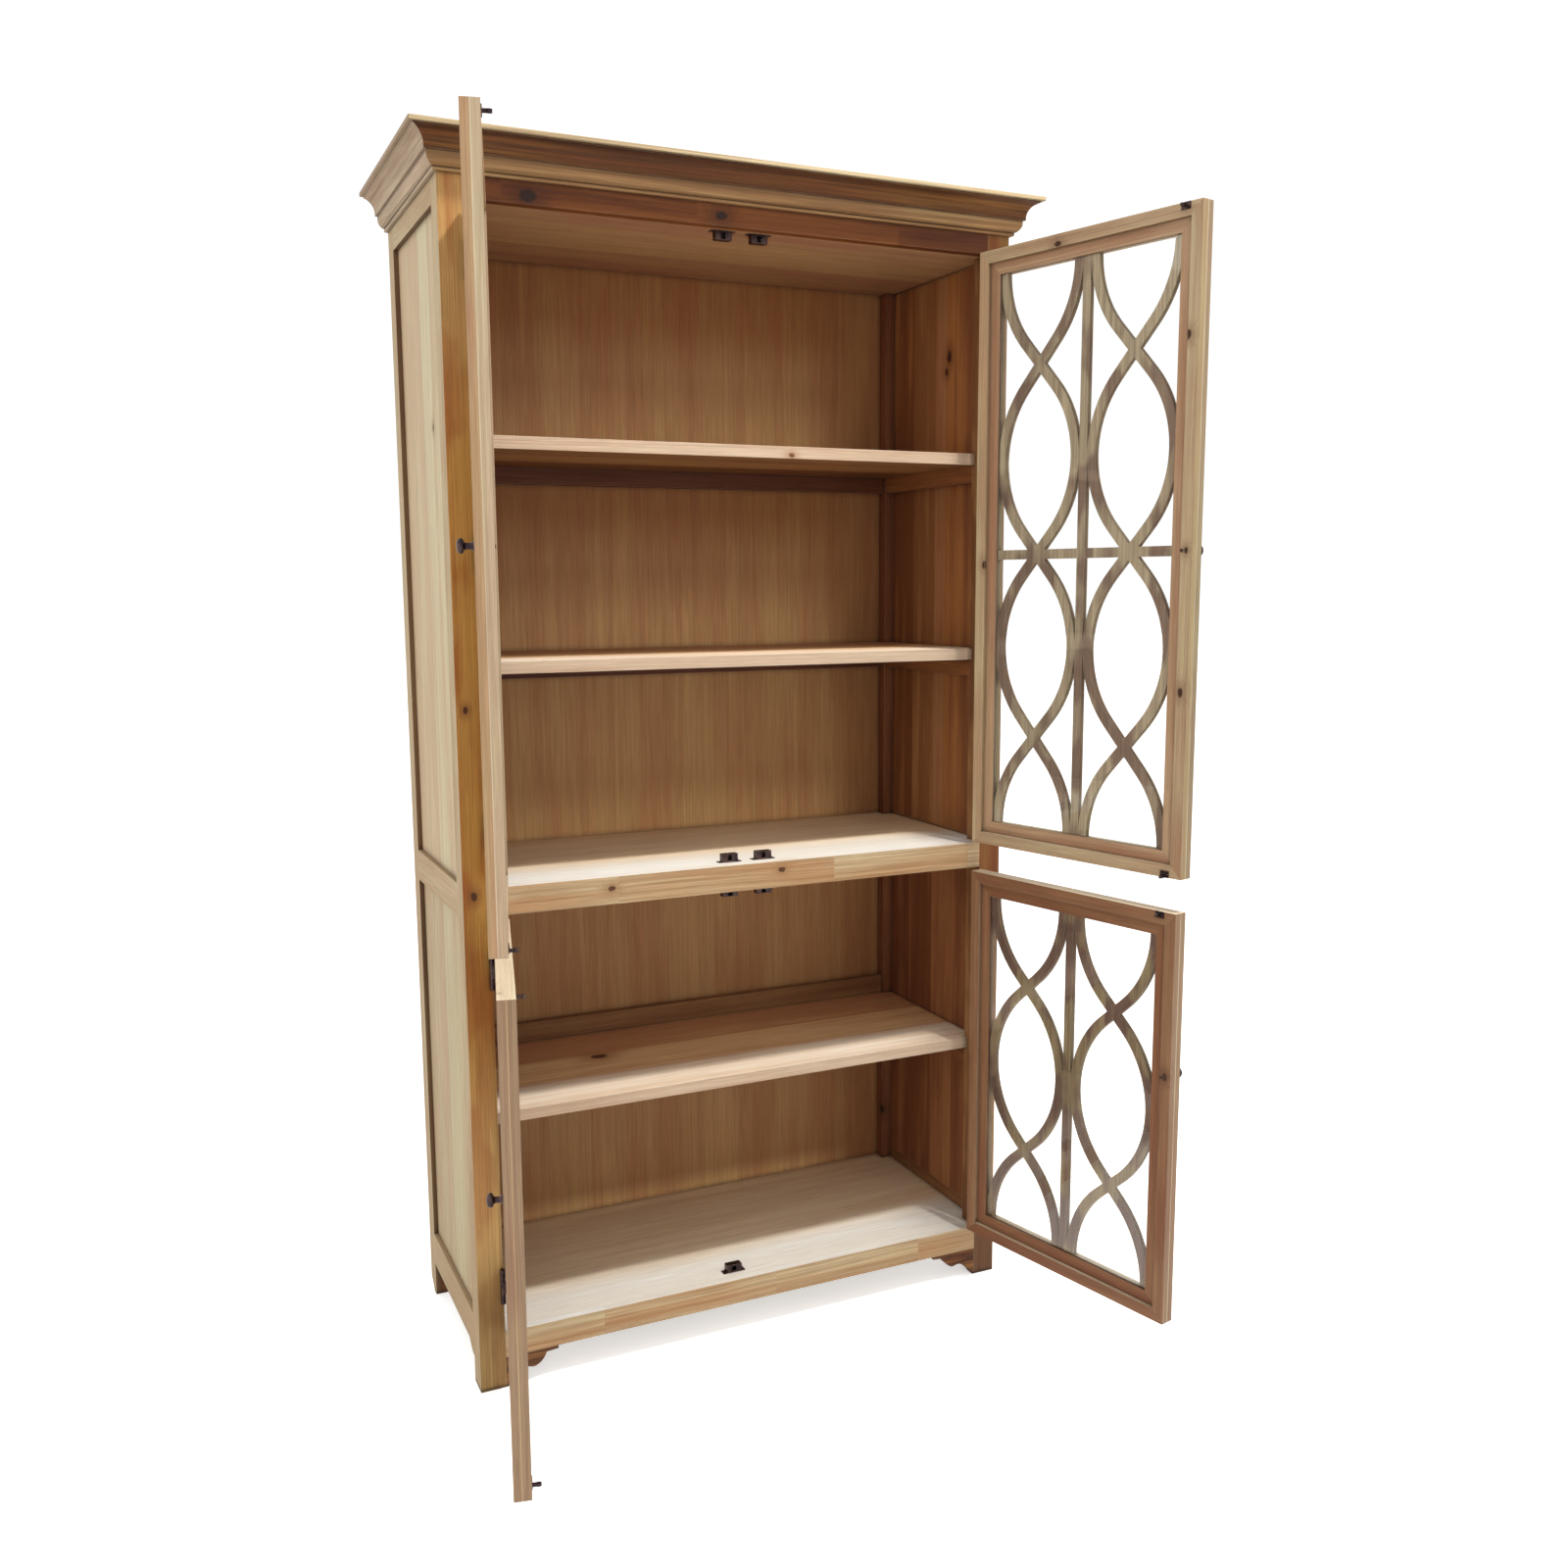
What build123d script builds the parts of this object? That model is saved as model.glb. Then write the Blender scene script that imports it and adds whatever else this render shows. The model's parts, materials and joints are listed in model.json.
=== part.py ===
"""Tall book cabinet in two tiers, with four glazed doors behind curved lattice work.

Millimetres, +Z up, front towards -Y. The origin is on the floor at the centre of the
cabinet's footprint with its doors standing open. The doors are modelled at their open
angles, and every size below that stands alone can be changed by itself.
"""
from build123d import *
from collections import namedtuple
from math import acos, atan2, cos, degrees, hypot, radians, sin
import os

os.makedirs("parts", exist_ok=True)

# ---------------------------------------------------------------- carcass sizes
body_width = 1100
body_depth = 450
body_height = 2187.5

post_width = 47.5
post_depth = 47

# The middle and bottom front rails are L-shaped: a strip in front, a ledge behind it.
front_rail_thickness = 22
ledge_depth = 70
bottom_rail_underside = 58.3
bottom_rail_top = 107.1
middle_rail_underside = 883.2
middle_rail_top = 933.7
top_rail_height = 89.5

deck_thickness = 20
ceiling_thickness = 15
top_board_thickness = 15

# Side walls: three rails and two sunk panels between the posts.
side_thickness = 25
side_panel_thickness = 16
apron_underside = 67
apron_top = 133
side_middle_underside = 878.5
side_middle_top = 938.5
side_top_rail_height = 93.5
board_count = 4
groove_width = 3
groove_depth = 1.5

# Back wall: two panels with rails behind them.
back_panel_thickness = 10
back_rail_thickness = 10
back_rail_height = 60

shelf_thickness = 22
shelf_setback = 38
shelf_side_clearance = 1
high_shelf_top = 1711
low_shelf_top = 1325.4
lower_shelf_top = 510.6
cleat_height = 33
cleat_thickness = 20
batten_height = 40

# The back feet are cut away behind to clear a skirting board.
skirting_cut_depth = 30
skirting_cut_height = 22

# ---------------------------------------------------------------- cornice and feet
cornice_height = 67.5
cornice_projection = 50
cornice_fillet_height = 7
cornice_cove_height = 33
cornice_step = 23.4
cornice_quirk = 2
cornice_ovolo_projection = 18.7
cornice_bead_height = 6.5
cornice_bead_projection = 7.5

bracket_length = 99
bracket_thickness = 20
bracket_tip_height = 6
side_bracket_length = 38
side_bracket_drop = 18

# ---------------------------------------------------------------- door sizes
door_thickness = 27.5
hinge_gap = 2.4
meeting_gap = 3
door_top_gap = 3
door_bottom_gap = 6.5
member_width = 46
glazing_rebate_width = 23
glazing_rebate_level = 13.5
glass_thickness = 3
glass_clearance = 1
bead_thickness = 4
bead_clearance = 0.1
upper_open_angle = 104
lower_open_angle = 103

# Lattice of S-shaped slats in the plane of the outer frame.
lattice_level = 4
lattice_thickness = 9.4
slat_width = 19
slat_bend_radius = 198
slat_let_in = 3
slat_joint_gap = 0.2
centre_bar_width = 18
cross_bar_height = 18

# ---------------------------------------------------------------- ironmongery sizes
hinge_height = 65
hinge_leaf_width = 25
hinge_leaf_thickness = 2
knuckle_radius = 4.5
knuckle_gap = 0.3
pin_radius = 2
pin_fit = 0.05
pin_proud = 5
pin_offset = 2
hinge_from_top = 95
upper_hinge_from_bottom = 95
lower_hinge_from_bottom = 85

knob_inset = 20
lower_knob_height = 464.4
knob_projection = 24
knob_radius = 10.5
knob_stem_radius = 4.5
knob_base_radius = 7
knob_screw_radius = 2
knob_screw_grip = 8
knob_screw_fit = 0.05
knob_screw_hole_radius = 2.2
knob_screw_head_radius = 3
knob_screw_head_height = 1.5

catch_offset = 35
catch_gap = 3
catch_plate_width = 46
catch_plate_thickness = 1.2
catch_width = 31
catch_depth = 15
catch_height = 16
catch_mouth_width = 11
catch_mouth_depth = 13
catch_mouth_low = 3
catch_mouth_height = 11.5
roller_radius = 3.5
roller_gap = 9
roller_from_front = 5
roller_pocket_fit = 0.3
spear_level = 9
spear_length = 15
spear_neck_width = 4.5
spear_head_width = 6
spear_height = 5
spear_plate_width = 18
spear_plate_height = 12
spear_plate_thickness = 1.5

# ---------------------------------------------------------------- worked-out places
half_width = body_width / 2
half_opening = half_width - post_width
half_inside = half_width - side_thickness
post_top = body_height - top_board_thickness
top_rail_underside = post_top - top_rail_height
side_top_underside = post_top - side_top_rail_height
cornice_underside = body_height - cornice_height
door_width = half_opening - hinge_gap - meeting_gap / 2
pin_to_edge = pin_offset + hinge_gap
middle_deck_underside = middle_rail_top - deck_thickness
bottom_deck_underside = bottom_rail_top - deck_thickness


def forward_reach(open_angle):
    """How far in front of the carcass a door's free corner stands at its open angle."""
    swing = radians(open_angle)
    edge = (pin_to_edge + door_width) * sin(swing)
    return pin_proud + edge - (pin_proud + door_thickness) * min(cos(swing), 0)


# The footprint runs from the open doors' corners to the back, centred on the origin.
door_reach = max(forward_reach(upper_open_angle), forward_reach(lower_open_angle))
front_y = (door_reach - body_depth) / 2
back_y = front_y + body_depth
post_back_y = front_y + post_depth
rear_post_y = back_y - post_depth
panel_front_y = back_y - back_rail_thickness - back_panel_thickness

Door = namedtuple("Door", "name side bottom height open_angle crossings knob hinges catches")
upper_bottom = middle_rail_top + door_bottom_gap
upper_height = top_rail_underside - door_top_gap - upper_bottom
lower_bottom = bottom_rail_top + door_bottom_gap
lower_height = middle_rail_underside - door_top_gap - lower_bottom
upper_hinges = (upper_hinge_from_bottom, upper_height / 2, upper_height - hinge_from_top)
lower_hinges = (lower_hinge_from_bottom, lower_height - hinge_from_top)
LEFT, RIGHT = -1, 1
UP, DOWN = 1, -1

# catches: DOWN is a catch hanging above the door, UP one standing below it.
doors = [
    Door("upper_left", LEFT, upper_bottom, upper_height, upper_open_angle, 3,
         upper_height / 2, upper_hinges, (UP, DOWN)),
    Door("upper_right", RIGHT, upper_bottom, upper_height, upper_open_angle, 3,
         upper_height / 2, upper_hinges, (UP, DOWN)),
    Door("lower_left", LEFT, lower_bottom, lower_height, lower_open_angle, 2,
         lower_knob_height, lower_hinges, (UP, DOWN)),
    Door("lower_right", RIGHT, lower_bottom, lower_height, lower_open_angle, 2,
         lower_knob_height, lower_hinges, (DOWN,)),
]


# ---------------------------------------------------------------- helpers
def block(x_limits, y_limits, z_limits, mode=Mode.ADD):
    """A rectangular block between two limits along each axis."""
    limits = (sorted(x_limits), sorted(y_limits), sorted(z_limits))
    with Locations(Vector(*[(low + high) / 2 for low, high in limits])):
        Box(*[high - low for low, high in limits], mode=mode)


def door_plane(door, along=0, up=0, depth=0):
    """A plane on an open door: x from its hinge edge to its lock edge, y upwards.

    The origin is on the door's outer face at its lower hinge corner. An extrusion of
    door.side times a thickness goes from the outer face towards the inner one.
    """
    swing = door.side * door.open_angle
    pin = Vector(door.side * (half_opening + pin_offset), front_y - pin_proud, door.bottom)
    corner = Vector(-door.side * (pin_to_edge + along), pin_proud + depth, up)
    return Plane(
        origin=pin + corner.rotate(Axis.Z, swing),
        x_dir=Vector(-door.side, 0, 0).rotate(Axis.Z, swing),
        z_dir=Vector(0, door.side, 0).rotate(Axis.Z, swing),
    )


def door_plan(door, along=0, up=0, depth=0):
    """A level plane on an open door: x as on door_plane, -door.side times y inwards."""
    place = door_plane(door, along, up, depth)
    return Plane(origin=place.origin, x_dir=place.x_dir, z_dir=(0, 0, 1))


def notched_board(underside, thickness, front, half_length):
    """A board from its front edge to the back panel, cut out round the four posts."""
    with BuildPart() as board:
        block((-half_length, half_length), (front, panel_front_y),
              (underside, underside + thickness))
        for side in (LEFT, RIGHT):
            for y_limits in ((front_y, post_back_y), (rear_post_y, back_y)):
                block((side * half_opening, side * half_width), y_limits,
                      (underside, underside + thickness), mode=Mode.SUBTRACT)
    return board


# ---------------------------------------------------------------- posts
for side, side_name in ((LEFT, "left"), (RIGHT, "right")):
    with BuildPart() as post:
        block((side * half_opening, side * half_width), (front_y, post_back_y), (0, post_top))
        # Mortises for the fixed hinge leaves, flush with the post's inner face.
        for door in doors:
            if door.side == side:
                for level in door.hinges:
                    middle = door.bottom + level
                    block((side * half_opening, side * (half_opening + hinge_leaf_thickness)),
                          (front_y, front_y + hinge_leaf_width),
                          (middle - hinge_height / 2, middle + hinge_height / 2),
                          mode=Mode.SUBTRACT)
    post.part.label = f"post_front_{side_name}"
    export_step(post.part, f"parts/post_front_{side_name}.step")

    with BuildPart() as rear_post:
        block((side * half_opening, side * half_width), (rear_post_y, back_y), (0, post_top))
        with BuildSketch(Plane.YZ):
            with BuildLine():
                Polyline((back_y - skirting_cut_depth, 0), (back_y, 0),
                         (back_y, skirting_cut_height), close=True)
            make_face()
        extrude(amount=body_width, both=True, mode=Mode.SUBTRACT)
    rear_post.part.label = f"post_rear_{side_name}"
    export_step(rear_post.part, f"parts/post_rear_{side_name}.step")

# ---------------------------------------------------------------- side walls
for side, side_name in ((LEFT, "left"), (RIGHT, "right")):
    inner_x = side * half_inside
    outer_x = side * half_width
    with BuildPart() as side_rails:
        for low, high in ((apron_underside, apron_top),
                          (side_middle_underside, side_middle_top),
                          (side_top_underside, post_top)):
            block((inner_x, outer_x), (post_back_y, rear_post_y), (low, high))
        # The apron drops in a small bracket against the front post.
        with BuildSketch(Plane.YZ.offset(inner_x)):
            with BuildLine():
                tip = (post_back_y + side_bracket_length, apron_underside)
                heel = (post_back_y + side_bracket_length / 3,
                        apron_underside - side_bracket_drop)
                foot = (post_back_y, apron_underside - side_bracket_drop)
                bend = (post_back_y + side_bracket_length * 0.6,
                        apron_underside - side_bracket_drop * 0.7)
                ThreePointArc(tip, bend, heel)
                Polyline(heel, foot, (post_back_y, apron_underside), tip)
            make_face()
        extrude(amount=side * side_thickness)
    side_rails.part.label = f"side_rails_{side_name}"
    export_step(side_rails.part, f"parts/side_rails_{side_name}.step")

    with BuildPart() as side_panels:
        face_x = side * (half_inside + side_panel_thickness)
        for low, high in ((apron_top, side_middle_underside),
                          (side_middle_top, side_top_underside)):
            block((inner_x, face_x), (post_back_y, rear_post_y), (low, high))
        # Vertical V-grooves between the boards of each panel.
        board_width = (rear_post_y - post_back_y) / board_count
        with BuildSketch(Plane.XY):
            for joint in range(1, board_count):
                with BuildLine():
                    joint_y = post_back_y + joint * board_width
                    Polyline((face_x, joint_y - groove_width / 2),
                             (face_x - side * groove_depth, joint_y),
                             (face_x, joint_y + groove_width / 2), close=True)
                make_face()
        extrude(amount=post_top, mode=Mode.SUBTRACT)
    side_panels.part.label = f"side_panels_{side_name}"
    export_step(side_panels.part, f"parts/side_panels_{side_name}.step")

# ---------------------------------------------------------------- front rails
with BuildPart() as top_rail:
    block((-half_opening, half_opening), (front_y, front_y + front_rail_thickness),
          (top_rail_underside, post_top))
top_rail.part.label = "rail_front_top"
export_step(top_rail.part, "parts/rail_front_top.step")

with BuildPart() as middle_rail:
    block((-half_opening, half_opening), (front_y, front_y + front_rail_thickness),
          (middle_rail_underside, middle_rail_top))
    block((-half_opening, half_opening), (front_y, front_y + ledge_depth),
          (middle_rail_underside, middle_deck_underside))
middle_rail.part.label = "rail_front_middle"
export_step(middle_rail.part, "parts/rail_front_middle.step")

with BuildPart() as bottom_rail:
    block((-half_opening, half_opening), (front_y, front_y + front_rail_thickness),
          (bottom_rail_underside, bottom_rail_top))
    block((-half_opening, half_opening), (front_y, front_y + ledge_depth),
          (bottom_rail_underside, bottom_deck_underside))
bottom_rail.part.label = "rail_front_bottom"
export_step(bottom_rail.part, "parts/rail_front_bottom.step")

# ---------------------------------------------------------------- back wall
middle_back_rail = (middle_rail_underside + middle_rail_top) / 2
with BuildPart() as back_panels:
    block((-half_opening, half_opening), (panel_front_y, panel_front_y + back_panel_thickness),
          (bottom_rail_underside, post_top))
    # The joint between the lower and the upper panel lies behind the middle deck.
    split(bisect_by=Plane.XY.offset(middle_back_rail), keep=Keep.BOTH)
back_panels.part.label = "back_panels"
export_step(back_panels.part, "parts/back_panels.step")

with BuildPart() as back_rails:
    for low in (bottom_rail_underside, middle_back_rail - back_rail_height / 2,
                post_top - back_rail_height):
        block((-half_opening, half_opening), (back_y - back_rail_thickness, back_y),
              (low, low + back_rail_height))
    # A batten in front of the lower panel, standing on the lower shelf.
    block((-half_opening, half_opening), (panel_front_y - cleat_thickness, panel_front_y),
          (lower_shelf_top, lower_shelf_top + batten_height))
back_rails.part.label = "back_rails"
export_step(back_rails.part, "parts/back_rails.step")

# ---------------------------------------------------------------- decks and shelves
ceiling_board = notched_board(top_rail_underside, ceiling_thickness,
                              front_y + front_rail_thickness, half_inside)
ceiling_board.part.label = "ceiling_board"
export_step(ceiling_board.part, "parts/ceiling_board.step")

middle_deck = notched_board(middle_deck_underside, deck_thickness,
                            front_y + front_rail_thickness, half_inside)
middle_deck.part.label = "middle_deck"
export_step(middle_deck.part, "parts/middle_deck.step")

bottom_deck = notched_board(bottom_deck_underside, deck_thickness,
                            front_y + front_rail_thickness, half_inside)
bottom_deck.part.label = "bottom_deck"
export_step(bottom_deck.part, "parts/bottom_deck.step")

shelf_tops = {"shelf_upper_high": high_shelf_top,
              "shelf_upper_low": low_shelf_top,
              "shelf_lower": lower_shelf_top}
for name, shelf_top in shelf_tops.items():
    shelf = notched_board(shelf_top - shelf_thickness, shelf_thickness,
                          front_y + shelf_setback, half_inside - shelf_side_clearance)
    shelf.part.label = name
    export_step(shelf.part, f"parts/{name}.step")

with BuildPart() as shelf_cleats:
    for shelf_top in shelf_tops.values():
        cleat_top = shelf_top - shelf_thickness
        for side in (LEFT, RIGHT):
            block((side * (half_inside - cleat_thickness), side * half_inside),
                  (post_back_y, rear_post_y), (cleat_top - cleat_height, cleat_top))
        block((-half_opening, half_opening), (panel_front_y - cleat_thickness, panel_front_y),
              (cleat_top - cleat_height, cleat_top))
shelf_cleats.part.label = "shelf_cleats"
export_step(shelf_cleats.part, "parts/shelf_cleats.step")

# ---------------------------------------------------------------- top and cornice
with BuildPart() as top_board:
    block((-half_width, half_width), (front_y, back_y), (post_top, body_height))
top_board.part.label = "top_board"
export_step(top_board.part, "parts/top_board.step")


def cornice_profile(plane):
    """The moulding's section: x outwards from the carcass, y up from its underside."""
    fillet_low = cornice_height - cornice_fillet_height
    cove_low = fillet_low - cornice_cove_height
    cove_top = cornice_projection - cornice_fillet_height
    with BuildSketch(plane) as profile:
        with BuildLine():
            bead_bottom = Line((0, 0), (cornice_bead_projection * 0.7, 0))
            bead = ThreePointArc(bead_bottom @ 1,
                                 (cornice_bead_projection, cornice_bead_height / 2),
                                 (cornice_bead_projection * 0.7, cornice_bead_height))
            ovolo_start = Line(bead @ 1, (cornice_bead_projection * 1.2, cornice_bead_height))
            ovolo = ThreePointArc(ovolo_start @ 1,
                                  (cornice_ovolo_projection * 0.84, cove_low * 0.45),
                                  (cornice_ovolo_projection, cove_low * 0.9))
            step = Polyline(ovolo @ 1, (cornice_ovolo_projection, cove_low),
                            (cornice_step, cove_low))
            cove = ThreePointArc(step @ 1,
                                 (cornice_step + (cove_top - cornice_step) * 0.25,
                                  cove_low + cornice_cove_height * 0.62),
                                 (cove_top, fillet_low - cornice_quirk))
            Polyline(cove @ 1, (cove_top, fillet_low), (cornice_projection, fillet_low),
                     (cornice_projection, cornice_height), (0, cornice_height), (0, 0))
        make_face()
    return profile.sketch


left_mitre = Plane(origin=(-half_width, front_y, 0), z_dir=(1, -1, 0))
right_mitre = Plane(origin=(half_width, front_y, 0), z_dir=(-1, -1, 0))

with BuildPart() as cornice_front:
    section = cornice_profile(Plane(origin=(0, front_y, cornice_underside),
                                    x_dir=(0, -1, 0), z_dir=(-1, 0, 0)))
    extrude(section, amount=half_width + cornice_projection, both=True)
    split(bisect_by=left_mitre, keep=Keep.TOP)
    split(bisect_by=right_mitre, keep=Keep.TOP)
cornice_front.part.label = "cornice_front"
export_step(cornice_front.part, "parts/cornice_front.step")

with BuildPart() as cornice_left:
    section = cornice_profile(Plane(origin=(-half_width, back_y, cornice_underside),
                                    x_dir=(-1, 0, 0), z_dir=(0, 1, 0)))
    extrude(section, amount=-body_depth - cornice_projection)
    split(bisect_by=left_mitre, keep=Keep.BOTTOM)
cornice_left.part.label = "cornice_left"
export_step(cornice_left.part, "parts/cornice_left.step")

with BuildPart() as cornice_right:
    section = cornice_profile(Plane(origin=(half_width, back_y, cornice_underside),
                                    x_dir=(1, 0, 0), z_dir=(0, -1, 0)))
    extrude(section, amount=body_depth + cornice_projection)
    split(bisect_by=right_mitre, keep=Keep.BOTTOM)
cornice_right.part.label = "cornice_right"
export_step(cornice_right.part, "parts/cornice_right.step")

# ---------------------------------------------------------------- front foot brackets
# Distances are measured from the post and down from the rail, as parts of the bracket.
with BuildPart() as foot_brackets:
    with BuildSketch(Plane(origin=(-half_opening, front_y, bottom_rail_underside),
                           x_dir=(1, 0, 0), z_dir=(0, -1, 0))):
        with BuildLine():
            drop = bottom_rail_underside
            tip = Line((bracket_length, 0), (bracket_length, -bracket_tip_height))
            strip = Line(tip @ 1, (bracket_length * 0.77, -bracket_tip_height - drop * 0.03))
            upper_curve = ThreePointArc(strip @ 1, (bracket_length * 0.67, -drop * 0.40),
                                        (bracket_length * 0.555, -drop * 0.52))
            nose = Line(upper_curve @ 1, (bracket_length * 0.48, -drop * 0.52))
            hollow = ThreePointArc(nose @ 1, (bracket_length * 0.40, -drop * 0.485),
                                   (bracket_length * 0.25, -drop * 0.60))
            lower_curve = ThreePointArc(hollow @ 1, (bracket_length * 0.14, -drop * 0.72),
                                        (bracket_length * 0.06, -drop * 0.90))
            Polyline(lower_curve @ 1, (bracket_length * 0.03, -drop), (0, -drop), (0, 0),
                     tip @ 0)
        make_face()
    extrude(amount=-bracket_thickness)
    mirror(about=Plane.YZ)
foot_brackets.part.label = "foot_brackets"
export_step(foot_brackets.part, "parts/foot_brackets.step")

# ---------------------------------------------------------------- hinges on the posts
knuckle_height = (hinge_height - 2 * knuckle_gap) / 3
end_knuckle_inset = hinge_height / 2 - knuckle_height


def frame_leaf(door, level):
    """The fixed leaf: plate in the post, end knuckles and the pin through all three."""
    middle = door.bottom + level
    bottom = middle - hinge_height / 2
    pin_x = door.side * (half_opening + pin_offset)
    pin_y = front_y - pin_proud
    plate_x = (door.side * half_opening, door.side * (half_opening + hinge_leaf_thickness))
    with BuildPart() as leaf:
        block(plate_x, (front_y, front_y + hinge_leaf_width), (bottom, bottom + hinge_height))
        for low in (bottom, middle + end_knuckle_inset):
            block(plate_x, (pin_y, front_y), (low, low + knuckle_height))
            with BuildSketch(Plane.XY.offset(low)):
                with Locations((pin_x, pin_y)):
                    Circle(knuckle_radius)
            extrude(amount=knuckle_height)
        with BuildSketch(Plane.XY.offset(bottom)):
            with Locations((pin_x, pin_y)):
                Circle(pin_radius)
        extrude(amount=hinge_height)
    return leaf.part


frame_leaves = Compound([frame_leaf(door, level).solid() for door in doors
                         for level in door.hinges])
frame_leaves.label = "hinge_frame_leaves"
export_step(frame_leaves, "parts/hinge_frame_leaves.step")

# ---------------------------------------------------------------- roller catches
catch_front_y = front_y + door_thickness + catch_gap
roller_x = roller_gap / 2 + roller_radius
catch_places = []
for door in doors:
    for way in door.catches:
        surface = door.bottom - door_bottom_gap
        if way == DOWN:
            surface = door.bottom + door.height + door_top_gap
        catch_places.append((door.side * catch_offset, surface, way))

with BuildPart() as catch_bodies:
    for place_x, surface, way in catch_places:
        block((place_x - catch_plate_width / 2, place_x + catch_plate_width / 2),
              (catch_front_y, catch_front_y + catch_depth),
              (surface, surface + way * catch_plate_thickness))
        block((place_x - catch_width / 2, place_x + catch_width / 2),
              (catch_front_y, catch_front_y + catch_depth),
              (surface, surface + way * catch_height))
        with BuildSketch(Plane.XY.offset(surface + way * catch_mouth_low)):
            with Locations((place_x, catch_front_y + catch_mouth_depth / 2)):
                Rectangle(catch_mouth_width, catch_mouth_depth)
            with Locations((place_x - roller_x, catch_front_y + roller_from_front),
                           (place_x + roller_x, catch_front_y + roller_from_front)):
                Circle(roller_radius + roller_pocket_fit)
        extrude(amount=way * catch_mouth_height, mode=Mode.SUBTRACT)
catch_bodies.part.label = "catch_bodies"
export_step(catch_bodies.part, "parts/catch_bodies.step")

with BuildPart() as catch_rollers:
    for place_x, surface, way in catch_places:
        with BuildSketch(Plane.XY.offset(surface + way * catch_mouth_low)):
            with Locations((place_x - roller_x, catch_front_y + roller_from_front),
                           (place_x + roller_x, catch_front_y + roller_from_front)):
                Circle(roller_radius)
        extrude(amount=way * catch_mouth_height)
catch_rollers.part.label = "catch_rollers"
export_step(catch_rollers.part, "parts/catch_rollers.step")


# ---------------------------------------------------------------- door frames
def door_stiles(door):
    """Both uprights, mitred at their ends, rebated inside for the glass."""
    with BuildPart() as stiles:
        with BuildSketch(door_plane(door)):
            with BuildLine():
                Polyline((0, 0), (member_width, member_width),
                         (member_width, door.height - member_width), (0, door.height),
                         close=True)
            make_face()
            with BuildLine():
                Polyline((door_width, 0), (door_width - member_width, member_width),
                         (door_width - member_width, door.height - member_width),
                         (door_width, door.height), close=True)
            make_face()
        extrude(amount=door.side * door_thickness)
        cut_glazing_rebate(door)
        # Mortises for the moving hinge leaves, flush with the door's edge.
        with BuildSketch(door_plane(door)):
            with Locations(*[(hinge_leaf_thickness / 2, level) for level in door.hinges]):
                Rectangle(hinge_leaf_thickness, hinge_height)
        extrude(amount=door.side * hinge_leaf_width, mode=Mode.SUBTRACT)
        with BuildSketch(door_plane(door)):
            with Locations((door_width - knob_inset, door.knob)):
                Circle(knob_screw_hole_radius)
        extrude(amount=door.side * door_thickness, mode=Mode.SUBTRACT)
    return stiles


def door_rails(door):
    """Both cross members, mitred at their ends, rebated inside for the glass."""
    with BuildPart() as rails:
        with BuildSketch(door_plane(door)):
            with BuildLine():
                Polyline((0, 0), (door_width, 0), (door_width - member_width, member_width),
                         (member_width, member_width), close=True)
            make_face()
            with BuildLine():
                Polyline((0, door.height), (door_width, door.height),
                         (door_width - member_width, door.height - member_width),
                         (member_width, door.height - member_width), close=True)
            make_face()
        extrude(amount=door.side * door_thickness)
        cut_glazing_rebate(door)
    return rails


def cut_glazing_rebate(door):
    """Cuts the step for glass and beads round the inner side of the frame being made."""
    with BuildSketch(door_plane(door, depth=glazing_rebate_level)) as step:
        with Locations((door_width / 2, door.height / 2)):
            Rectangle(door_width - 2 * glazing_rebate_width,
                      door.height - 2 * glazing_rebate_width)
    extrude(step.sketch, amount=door.side * (door_thickness - glazing_rebate_level),
            mode=Mode.SUBTRACT)


def door_glass(door):
    """The clear pane, lying in the rebate."""
    with BuildPart() as glass:
        with BuildSketch(door_plane(door, depth=glazing_rebate_level)):
            with Locations((door_width / 2, door.height / 2)):
                Rectangle(door_width - 2 * (glazing_rebate_width + glass_clearance),
                          door.height - 2 * (glazing_rebate_width + glass_clearance))
        extrude(amount=door.side * glass_thickness)
    return glass


def glazing_bead(door, corners):
    """One mitred strip that holds the glass, given its four corners on the door."""
    with BuildPart() as strip:
        with BuildSketch(door_plane(door, depth=glazing_rebate_level + glass_thickness)):
            with BuildLine():
                Polyline(*corners, close=True)
            make_face()
            offset(amount=-bead_clearance, kind=Kind.INTERSECTION, mode=Mode.REPLACE)
        extrude(amount=door.side * bead_thickness)
    return strip.part.solid()


def glazing_beads(door):
    """The four strips round a door's glass."""
    outer = glazing_rebate_width
    inner = member_width
    outer_ring = [(outer, outer), (door_width - outer, outer),
                  (door_width - outer, door.height - outer), (outer, door.height - outer)]
    inner_ring = [(inner, inner), (door_width - inner, inner),
                  (door_width - inner, door.height - inner), (inner, door.height - inner)]
    return Compound([
        glazing_bead(door, (outer_ring[k - 1], outer_ring[k], inner_ring[k], inner_ring[k - 1]))
        for k in range(4)
    ])


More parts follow.
